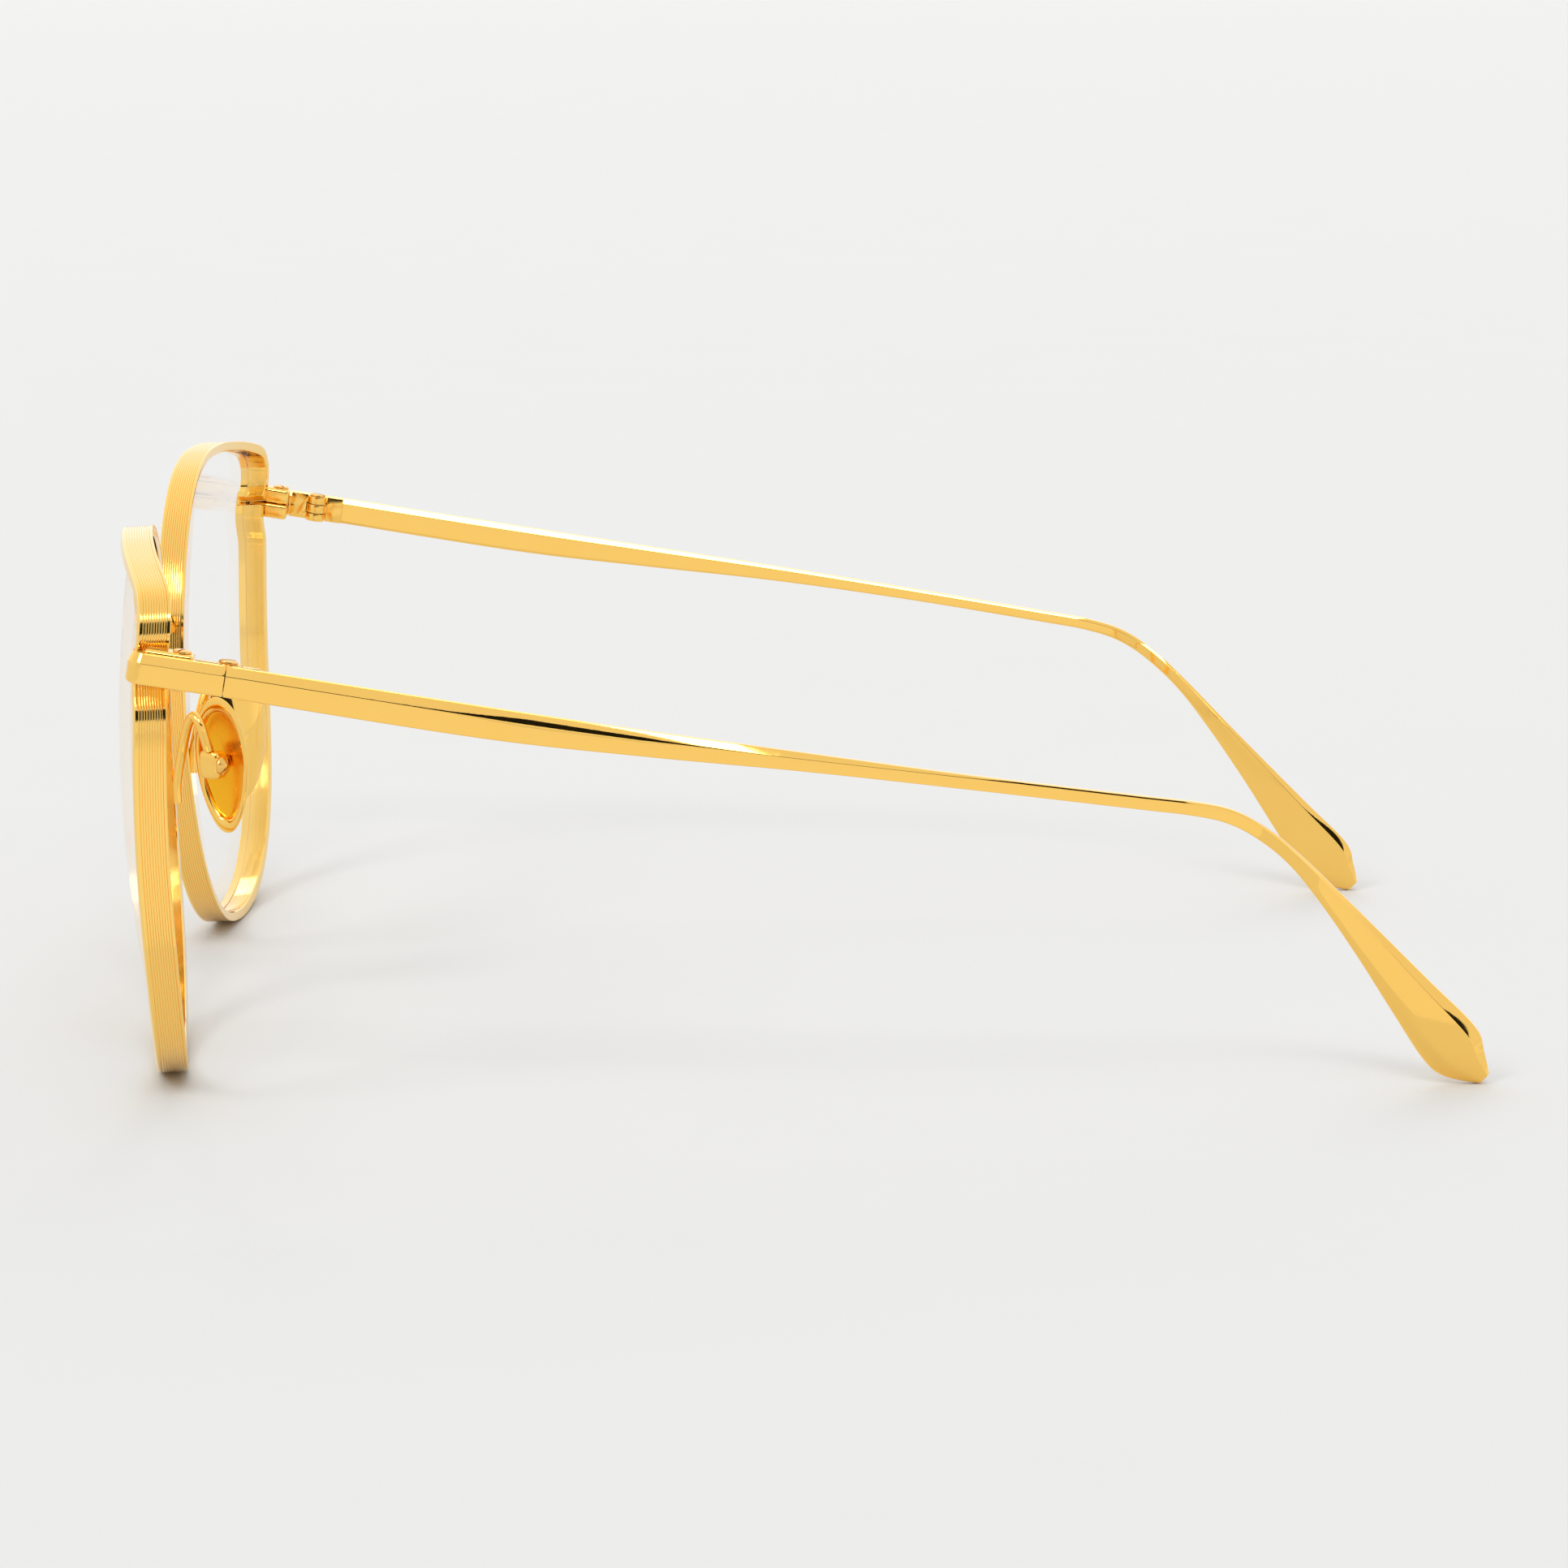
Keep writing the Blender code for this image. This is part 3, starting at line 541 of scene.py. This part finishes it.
INNER_BEVEL = 6
INNER_BEVEL_PER_MM = 0.097
THICKNESS = STRIP_OUT - STRIP_IN


def blend(here, there, share):
    return [(a[0] + (b[0] - a[0]) * share, a[1] + (b[1] - a[1]) * share) for a, b in zip(here, there)]


def strip_section(height, corners=STRIP_CORNERS, facet_radius=CORNER_RADII[FACET_LINE]):
    """Rounded section in millimetres: across the strip from its inner face, and up from its bottom."""
    radii = CORNER_RADII[:FACET_LINE] + (facet_radius,) + CORNER_RADII[FACET_LINE + 1:]
    return rounded([(x * THICKNESS, z * height) for x, z in corners], radii)


print("strip section has", len(strip_section(2 * STRIP_HALF_HEIGHT)), "points")

# %% Endpieces
END_FRONT = -9.75
END_RETURN = -1.75
END_CORNER = 1.9
END_BACK = -0.05
CORNER_STEPS = 20

corner_centre = Vector((STRIP_OUT - END_CORNER, END_FRONT + END_CORNER))
route = []
for x in (END_RETURN, END_RETURN + 0.5, -0.6):
    route.append((Vector((x, END_FRONT)), Vector((0, -1))))
for k in range(CORNER_STEPS + 1):
    turn = radians(-90 + 90 * k / CORNER_STEPS)
    facing = Vector((cos(turn), sin(turn)))
    route.append((corner_centre + facing * END_CORNER, facing))
for y in (-5.0, -2.5, -0.6, END_BACK):
    route.append((Vector((STRIP_OUT, y)), Vector((1, 0))))
rings = []
for outer, facing in route:
    rings.append([(*(outer - facing * (THICKNESS - point.x)), point.y - STRIP_HALF_HEIGHT)
                  for point in strip_section(2 * STRIP_HALF_HEIGHT, facet_radius=0.03)])
endpiece = loft(rings)
soften(endpiece, 0.06, sharper_than=60)
pair(place(endpiece, HINGE), "wrapped_endpiece", "front", "frame_gold", mirror_gold, ["endpiece_{side}"])

# %% [markdown]
# ## Temples
#
# A temple is one bar: flat and faceted at the hinge, slimmer towards the ear, bent down behind it
# and widened into a kite-shaped tip with a raised panel. Its upper and lower edges are two smooth
# paths, its outer face bows gently, and its section changes from the strip to the panel on the way.
# The bevel along its inner top edge keeps the same slope, so it catches one light all along.

# %% Temples
TEMPLE_TOP = (
    (-32.0, 43.1), (-16.0, 40.55), (0.5, 38.0), (17.0, 35.4), (33.0, 32.95), (39.0, 32.0), (43.2, 30.8),
    (47.0, 28.4), (50.8, 25.0), (55.0, 20.8), (59.8, 16.0), (65.0, 10.8), (69.8, 6.0), (70.8, 3.3),
    (71.3, 1.1),
)
TEMPLE_BOTTOM = (
    (-32.3, 39.95), (-16.3, 38.0), (0.3, 36.2), (16.8, 34.0), (32.8, 31.6), (38.7, 30.65), (42.6, 29.5),
    (46.0, 27.4), (49.6, 24.1), (53.2, 19.5), (57.2, 13.7), (61.1, 7.6), (64.4, 2.6), (66.6, 0.8),
    (70.2, 0.0),
)
TEMPLE_SIDE = (
    (-56.9, 68.5), (-32.0, 68.6), (-16.0, 68.4), (0.5, 67.6), (17.0, 66.0), (33.0, 63.5), (39.0, 62.2),
    (44.5, 59.8), (49.0, 56.4), (53.5, 53.0), (58.0, 51.2), (64.0, 50.6), (72.0, 50.4),
)
TEMPLE_STEPS = 8
TEMPLE_GAP = 0.05
FACET_CRISP, FACET_SOFT = 0.05, 0.7
SOFTEST_AT, SOFT_SPAN = -23.0, 8.0
SLIM_FROM, SLIM_TO = -4.0, 22.0
PADDLE_FROM, PADDLE_TO = 42.0, 58.0
temple_side_path = through(TEMPLE_SIDE, 8)


def temple_side(y):
    """How far out the temple's outer face is at a given Y."""
    for before, after in zip(temple_side_path, temple_side_path[1:]):
        if y <= after.x:
            return before.y + (after.y - before.y) * (y - before.x) / (after.x - before.x)
    return temple_side_path[-1].y


def temple_start(height):
    """(Y, Z) of the temple's square front end, at a height along the hinge's axis."""
    world = HINGE @ Vector((0, TEMPLE_GAP, height))
    return (world.y / MM, world.z / MM)


def smoothstep(value, start, end):
    share = min(max((value - start) / (end - start), 0), 1)
    return share * share * (3 - 2 * share)


def facet_softness(y):
    """The facet's lower line is crisp at the hinge and softest a third of the way back."""
    return FACET_CRISP + FACET_SOFT * exp(-((y - SOFTEST_AT) / SOFT_SPAN) ** 2)


upper = through((temple_start(STRIP_HALF_HEIGHT), *TEMPLE_TOP), TEMPLE_STEPS)
lower = through((temple_start(-STRIP_HALF_HEIGHT), *TEMPLE_BOTTOM), TEMPLE_STEPS)
rings = []
for top, low in zip(upper, lower):
    tall = (top - low).length
    corners = blend(STRIP_CORNERS, SLIM_CORNERS, smoothstep(low.x, SLIM_FROM, SLIM_TO))
    corners[INNER_BEVEL] = (INNER_BEVEL_PER_MM * tall, 1)
    corners = blend(corners, PADDLE_CORNERS, smoothstep(low.x, PADDLE_FROM, PADDLE_TO))
    ring = []
    for point in strip_section(tall, corners, facet_softness(low.x)):
        y, z = low + (top - low) * (point.y / tall)
        ring.append((temple_side(y) - THICKNESS + point.x, y, z))
    rings.append(ring)
temple = loft(rings)
soften(temple, 0.06, sharper_than=60)
pair(place(temple, Matrix.Scale(MM, 4)), "faceted_temple", "{side}_temple", "frame_gold", mirror_gold,
     ["temple_{side}"])

# %% [markdown]
# ## Small turned and milled pieces
#
# Hinge leaves, closing blocks, pad boxes and posts already have the right shape in the CAD model.
# Only their edges are too crisp. A copy of each is merged, its flat faces are joined, and a narrow
# bevel then catches the light along each edge as on the real pieces.


# %% Milled pieces with softened edges
def milled(node, offset):
    bm = bmesh.new()
    bm.from_mesh(frame["nodes"][node].data)
    bmesh.ops.remove_doubles(bm, verts=bm.verts, dist=1e-6)
    bmesh.ops.dissolve_limit(bm, angle_limit=radians(1), verts=bm.verts, edges=bm.edges)
    soften(bm, offset * MM, sharper_than=40)
    return bm


MILLED = (("front_hinge_leaf", "front", 0.05), ("temple_hinge_leaf", "{side}_temple", 0.05),
          ("pad_post", "{side}_pad", 0.05))
for node, body, offset in MILLED:
    pair(milled(f"{node}_left", offset), f"milled_{node}", body, "hinge_gold", hinge_gold,
         [node + "_{side}"])

# %% [markdown]
# ## Closing blocks and pad boxes
#
# The two closing blocks are soldered to the ends of the rim, one above and one below the split, and
# a screw pulls them together round the lens. They are small cast bricks with generous corners, so
# they start as a cube with a wide bevel. The pad box holds the pad's post in a slot between two
# cheeks. Its U-shaped section travels up its height and draws in at both ends.

# %% Closing blocks
BLOCK_WIDE, BLOCK_DEEP, BLOCK_TALL = 2.8, 4.8, 1.8
BLOCK_X, BLOCK_Y, BLOCK_Z = -0.2, -5.8, 0.95
BLOCK_EDGE = 0.4

for name, height in (("closing_block_upper", BLOCK_Z), ("closing_block_lower", -BLOCK_Z)):
    block = bmesh.new()
    bmesh.ops.create_cube(block, size=1)
    bmesh.ops.scale(block, vec=(BLOCK_WIDE, BLOCK_DEEP, BLOCK_TALL), verts=block.verts)
    bmesh.ops.translate(block, vec=(BLOCK_X, BLOCK_Y, height), verts=block.verts)
    soften(block, BLOCK_EDGE, segments=5)
    pair(place(block, HINGE), f"cast_{name}", "front", "hinge_gold", hinge_gold, [name + "_{side}"])

# %% Pad boxes
BOX_HALF = Vector((1.35, 1.05, 1.5))
SLOT_HALF = 0.6
SLOT_BOTTOM = -0.6
BOX_RADII = (0.62, 0.62, 0.4, 0.08, 0.08, 0.08, 0.08, 0.4)
BOX_STEPS = 8
BOX_DRAWN_IN = Vector((0.45, 0.5))
BOX_BACK_DRAWN_IN = 0.35

rings = []
for k in range(-BOX_STEPS, BOX_STEPS + 1):
    turn = k / BOX_STEPS * pi / 2
    rise = abs(sin(turn)) ** 0.6 * (1 if k > 0 else -1)
    drawn_in = 1 - cos(turn) ** 0.7
    wide = BOX_HALF.x - drawn_in * BOX_DRAWN_IN.x
    back = -BOX_HALF.y + drawn_in * BOX_BACK_DRAWN_IN
    front = BOX_HALF.y - drawn_in * BOX_DRAWN_IN.y
    corners = ((-wide, back), (wide, back), (wide, front), (SLOT_HALF, front), (SLOT_HALF, SLOT_BOTTOM),
               (-SLOT_HALF, SLOT_BOTTOM), (-SLOT_HALF, front), (-wide, front))
    rings.append([(*point, rise * BOX_HALF.z) for point in rounded(corners, BOX_RADII)])
pair(place(loft(rings), PAD), "cast_pad_box", "front", "hinge_gold", hinge_gold, ["pad_box_{side}"])

# %% [markdown]
# ## Screws
#
# Every screw is a small cheese head on a shank, with a slot for a jeweller's screwdriver. The head
# is turned with `spin`. Two cuts with `bisect_plane` mark out the slot on its top, and the strip
# between them is pressed in.


# %% Screws
HEAD_EDGE = 0.14
SLOT_HALF_SHARE = 0.13
SLOT_DEEP = 0.2


def slotted_screw(head_radius, under, top, shank_radius, end, dome=0.05, turn=0.4):
    """A screw up the Z axis, whose slot is turned by the given angle."""
    bm = bmesh.new()
    profile = (
        (0.02, top + dome), (head_radius * 0.3, top + dome * 0.9), (head_radius * 0.6, top + dome * 0.55),
        (head_radius - HEAD_EDGE, top), (head_radius - 0.04, top - 0.05), (head_radius, top - HEAD_EDGE),
        (head_radius, under + 0.04), (head_radius - 0.04, under), (shank_radius, under),
        (shank_radius, end + 0.08), (shank_radius - 0.08, end), (0.02, end),
    )
    verts = [bm.verts.new((x, 0, z)) for x, z in profile]
    for pair_of in zip(verts, verts[1:]):
        bm.edges.new(pair_of)
    bmesh.ops.spin(bm, geom=bm.verts[:] + bm.edges[:], cent=(0, 0, 0), axis=(0, 0, 1), angle=2 * pi,
                   steps=32, use_merge=True)
    bmesh.ops.holes_fill(bm, edges=bm.edges)
    bmesh.ops.recalc_face_normals(bm, faces=bm.faces)
    half = head_radius * SLOT_HALF_SHARE
    across = Vector((cos(turn), sin(turn), 0))
    for way in (-1, 1):
        bmesh.ops.bisect_plane(bm, geom=bm.verts[:] + bm.edges[:] + bm.faces[:], dist=1e-5,
                               plane_co=across * half * way, plane_no=across)
    strip = [face for face in bm.faces if face.normal.z > 0.3
             and abs(face.calc_center_median().dot(across)) < half and face.calc_center_median().z > under]
    pressed = bmesh.ops.extrude_face_region(bm, geom=strip)
    bmesh.ops.delete(bm, geom=strip, context="FACES")
    bmesh.ops.translate(bm, vec=(0, 0, -SLOT_DEEP),
                        verts=[item for item in pressed["geom"] if isinstance(item, bmesh.types.BMVert)])
    bmesh.ops.recalc_face_normals(bm, faces=bm.faces)
    return bm


LOCK_SCREW_AT = Matrix.Translation((0.0, -4.6, 0.0))
ALONG_PAD_SCREW = Matrix.Rotation(pi / 2, 4, "Y")
hinge_screw = slotted_screw(0.95, under=1.53, top=1.78, shank_radius=0.62, end=-1.6)
lock_screw = slotted_screw(0.95, under=1.86, top=2.1, shank_radius=0.62, end=-1.95, turn=1.2)
pad_screw = slotted_screw(1.05, under=1.38, top=1.75, shank_radius=0.36, end=-1.35, dome=0.35, turn=0.9)
for screw, name, where in ((hinge_screw, "hinge_screw", HINGE),
                           (lock_screw, "rim_lock_screw", HINGE @ LOCK_SCREW_AT),
                           (pad_screw, "pad_screw", PAD @ ALONG_PAD_SCREW)):
    pair(place(screw, where), f"slotted_{name}", "front", "screw_gold", screw_gold, [name + "_{side}"])

# %% [markdown]
# ## Bridge
#
# The bridge is a low saddle that is wider front to back than it is tall, and it spreads a little
# where it is soldered to each rim. An oval travels along its arch.

# %% Bridge
BRIDGE_HALF_PATH = ((9.9, -70.1, 39.25), (5.6, -70.4, 41.4), (0.0, -70.5, 42.2))
BRIDGE_DEPTH = 2.3
BRIDGE_HEIGHT = 2.0
BRIDGE_SIDES = 32

arch = through(BRIDGE_HALF_PATH + tuple((-x, y, z) for x, y, z in BRIDGE_HALF_PATH[1::-1]), 10)
rings = []
for k, point in enumerate(arch):
    along = (arch[min(k + 1, len(arch) - 1)] - arch[max(k - 1, 0)]).normalized()
    deep = Vector((0, 1, 0))
    deep = (deep - deep.dot(along) * along).normalized()
    tall = along.cross(deep)
    rings.append([point + deep * cos(turn) * BRIDGE_DEPTH / 2 + tall * sin(turn) * BRIDGE_HEIGHT / 2
                  for turn in (2 * pi * j / BRIDGE_SIDES for j in range(BRIDGE_SIDES))])
bridge = loft(rings)
bridge_piece = finished(place(bridge, Matrix.Scale(MM, 4)), "arched_bridge", "front",
                        mirror_gold, ["bridge"])
print("the bridge spans", round(bridge_piece.dimensions.x / MM, 1), "mm")

# %% [markdown]
# ## Pad arms
#
# Each pad arm is a round wire, soldered behind the rim by its foot. It rises, turns over in a loop
# and comes down on the pad's box. The wire's circle is carried along the path without twisting, and
# both of its ends are rounded off.

# %% Pad arms
ARM_POINTS = (
    (9.4, -67.4, 22.6), (9.45, -67.4, 25.0), (9.95, -66.8, 28.4), (11.0, -66.1, 31.3), (12.1, -65.3, 32.7),
    (12.9, -64.5, 31.9), (12.6, -64.0, 30.2), (12.2, -63.7, 28.95),
)
ARM_RADIUS = 0.55
ARM_END_EDGE = 0.18
WIRE_SIDES = 24


def wire(points, steps, radius):
    path = through(points, steps)
    side = Vector((0, 1, 0))
    rings = []
    for k, point in enumerate(path):
        along = (path[min(k + 1, len(path) - 1)] - path[max(k - 1, 0)]).normalized()
        side = (side - side.dot(along) * along).normalized()
        other = along.cross(side)
        rings.append([point + side * cos(turn) * radius + other * sin(turn) * radius
                      for turn in (2 * pi * j / WIRE_SIDES for j in range(WIRE_SIDES))])
    return loft(rings)


arm = wire(ARM_POINTS, 10, ARM_RADIUS)
soften(arm, ARM_END_EDGE, sharper_than=60, segments=3)
pair(place(arm, Matrix.Scale(MM, 4)), "wire_pad_arm", "front", "frame_gold", mirror_gold, ["pad_arm_{side}"])

# %% [markdown]
# ## Nose pads
#
# A nose pad is a thin metal dish with a rounded lip, egg-shaped with its wide end up. One half
# section is spun into a round dish and then stretched into the egg and leaned forward. The floor of
# the dish gets its own duller gold, because polish doesn't reach it, and its deeper amber colour is
# painted shade, standing in for light that bounces round the hollow.

# %% Nose pads
PAD_LEAN = radians(5.0)
PAD_HALF_HEIGHT = 7.7
PAD_HALF_WIDTH = 3.8
PAD_DEPTH = 1.5
PAD_LIP = 0.45
PAD_EGG = 0.16
PAD_BELOW_PIVOT = 0.45
PAD_OFFSET = 3.1
PAD_STEPS = 72

CROWN_RADII = (0.004, 0.1, 0.22, 0.34, 0.46, 0.58, 0.7, 0.8, 0.88, 0.94)
LIP = [(0.98, 0.05), (1.0, -0.12), (0.99, -0.3), (0.955, -0.41), (0.91, -PAD_LIP), (0.865, -0.42),
       (0.825, -0.31), (0.8, -0.15), (0.785, 0.05), (0.775, 0.15)]
FLOOR_RADII = (0.74, 0.68, 0.6, 0.5, 0.38, 0.26, 0.14, 0.005)

crown = [(r, PAD_DEPTH * (1 - r * r)) for r in CROWN_RADII]
floor = [(r, 0.22 + 0.5 * (1 - (r / 0.75) ** 2)) for r in FLOOR_RADII]
pad = bmesh.new()
verts = [pad.verts.new((r, 0, z)) for r, z in crown + LIP + floor]
for pair_of in zip(verts, verts[1:]):
    pad.edges.new(pair_of)
bmesh.ops.spin(pad, geom=pad.verts[:] + pad.edges[:], cent=(0, 0, 0), axis=(0, 0, 1), angle=2 * pi,
               steps=PAD_STEPS, use_merge=True)
bmesh.ops.holes_fill(pad, edges=pad.edges)
bmesh.ops.recalc_face_normals(pad, faces=pad.faces)
# The faces of the dish's floor get the painted-shade amber gold.
for face in pad.faces:
    middle = face.calc_center_median()
    painted_shade_floor = hypot(middle.x, middle.y) < 0.8 and face.normal.z < 0.1
    face.material_index = 1 if painted_shade_floor else 0
lean = Matrix.Rotation(PAD_LEAN, 3, "X")
for vert in pad.verts:
    wide, tall, deep = vert.co
    vert.co = lean @ Vector((wide * PAD_HALF_WIDTH * (1 + PAD_EGG * tall), PAD_OFFSET - PAD_DEPTH + deep,
                             tall * PAD_HALF_HEIGHT - PAD_BELOW_PIVOT))
bmesh.ops.recalc_face_normals(pad, faces=pad.faces)
pair(place(pad, PAD), "dished_nose_pad", "{side}_pad", "pad_gold", (pad_gold, dish_painted_shade_gold), ["nose_pad_{side}"])

# %% [markdown]
# ## Table and light
#
# Polished metal shows its surroundings, so the studio is most of the look. The table is matt and
# nearly white. Between it and the camera lies a brighter card that only reflections can see. The
# room is even, and brighter on the far side, which whitens every edge that faces up and away. Two
# softboxes above the camera make the highlights on the facets and reeds, and a dark curtain behind
# the camera draws the thin black lines. One more light brightens only the far part of the table.


# %% Table
def matt(name, colour):
    """A matt surface with a faint cloudy grain."""
    made = bpy.data.materials.new(name)
    made.use_nodes = True
    tree = made.node_tree
    shader = tree.nodes["Principled BSDF"]
    shader.inputs["Roughness"].default_value = 0.9
    shader.inputs["Specular IOR Level"].default_value = 0.1
    where = tree.nodes.new("ShaderNodeTexCoord")
    clouds = tree.nodes.new("ShaderNodeTexNoise")
    clouds.inputs["Scale"].default_value = 30.0
    clouds.inputs["Detail"].default_value = 6.0
    tree.links.new(where.outputs["Object"], clouds.inputs["Vector"])
    grain = tree.nodes.new("ShaderNodeMix")
    grain.data_type = "RGBA"
    grain.inputs["A"].default_value = (*colour, 1.0)
    grain.inputs["B"].default_value = (*(0.985 * channel for channel in colour), 1.0)
    tree.links.new(clouds.outputs["Fac"], grain.inputs["Factor"])
    tree.links.new(grain.outputs["Result"], shader.inputs["Base Color"])
    return made


def staged(name, matrix, material):
    """A one-metre card, placed by the matrix, that belongs to the studio."""
    card = bmesh.new()
    bmesh.ops.create_grid(card, x_segments=1, y_segments=1, size=0.5)
    place(card, matrix)
    mesh = bpy.data.meshes.new(name)
    card.to_mesh(mesh)
    card.free()
    mesh.materials.append(material)
    made = bpy.data.objects.new(name, mesh)
    bpy.context.scene.collection.objects.link(made)
    return made


TABLE_SIZE = 60.0
TABLE_AT = Vector((0, 0, -0.00005))
BOUNCE_SIZE = (0.53, 0.8)
BOUNCE_AT = Vector((0.345, 0.0, 0.0001))
lying = Matrix.Translation(TABLE_AT) @ Matrix.Diagonal((TABLE_SIZE, TABLE_SIZE, 1, 1))
staged("table", lying, matt("table_white", (0.663, 0.663, 0.657)))
lying = Matrix.Translation(BOUNCE_AT) @ Matrix.Diagonal((*BOUNCE_SIZE, 1, 1))
bounce_card = staged("bounce_card", lying, matt("card_white", (0.75, 0.75, 0.745)))
bounce_card.visible_camera = False
bounce_card.visible_diffuse = False
bounce_card.visible_transmission = False
bounce_card.visible_shadow = False

# %% Dark curtain
CURTAIN_LOW, CURTAIN_HIGH = 0.36, 1.4
CURTAIN_AWAY = 2.5
CURTAIN_WIDTH = 5.0
upright = Matrix.Rotation(pi / 2, 4, "Y") @ Matrix.Diagonal((CURTAIN_HIGH - CURTAIN_LOW, CURTAIN_WIDTH, 1, 1))
hung = Matrix.Translation((CURTAIN_AWAY, 0, (CURTAIN_HIGH + CURTAIN_LOW) / 2))
dark_curtain = staged("dark_curtain", hung @ upright, matt("dark_cloth", (0.01, 0.01, 0.01)))
dark_curtain.visible_camera = False
dark_curtain.visible_transmission = False

# %% The room
ROOM_NEAR, ROOM_FAR = 0.9, 1.18
world = bpy.data.worlds.new("studio")
bpy.context.scene.world = world
world.use_nodes = True
room = world.node_tree
where = room.nodes.new("ShaderNodeTexCoord")
axes = room.nodes.new("ShaderNodeSeparateXYZ")
room.links.new(where.outputs["Generated"], axes.inputs["Vector"])
across = room.nodes.new("ShaderNodeMapRange")
across.inputs["From Min"].default_value = -1.0
across.inputs["From Max"].default_value = 0.1
across.inputs["To Min"].default_value = ROOM_FAR
across.inputs["To Max"].default_value = ROOM_NEAR
room.links.new(axes.outputs["X"], across.inputs["Value"])
background = room.nodes["Background"]
background.inputs["Color"].default_value = (1.0, 1.0, 1.0, 1.0)
room.links.new(across.outputs["Result"], background.inputs["Strength"])


# %% Softboxes
def softbox(name, at, width, height, brightness):
    """A rectangular light of an even brightness that faces the spectacles."""
    data = bpy.data.lights.new(name, "AREA")
    data.shape = "RECTANGLE"
    data.size = width
    data.size_y = height
    data.energy = brightness * width * height * pi
    lamp = bpy.data.objects.new(name, data)
    facing = (MIDDLE - at).to_track_quat("-Z", "Y")
    lamp.matrix_world = Matrix.Translation(at) @ facing.to_matrix().to_4x4()
    bpy.context.scene.collection.objects.link(lamp)
    return lamp


def towards(azimuth, elevation, distance):
    """A place seen from the spectacles at the given angles, in degrees from +X."""
    turn = radians(azimuth)
    rise = radians(elevation)
    return Vector((cos(rise) * cos(turn), cos(rise) * sin(turn), sin(rise))) * distance


MIDDLE = Vector((0, 0, 0.03))
key_light = softbox("key_light", towards(1, 48, 30), 14.0, 7.0, 6.0)
side_light = softbox("side_light", towards(-48, 43, 30), 9.0, 10.0, 6.0)
table_light = softbox("table_light", towards(180, 38, 14), 8.0, 5.0, 2.5)
table_light.visible_glossy = False
bpy.context.scene.view_settings.view_transform = "Standard"
print("lights:", [lamp.name for lamp in (key_light, side_light, table_light)])
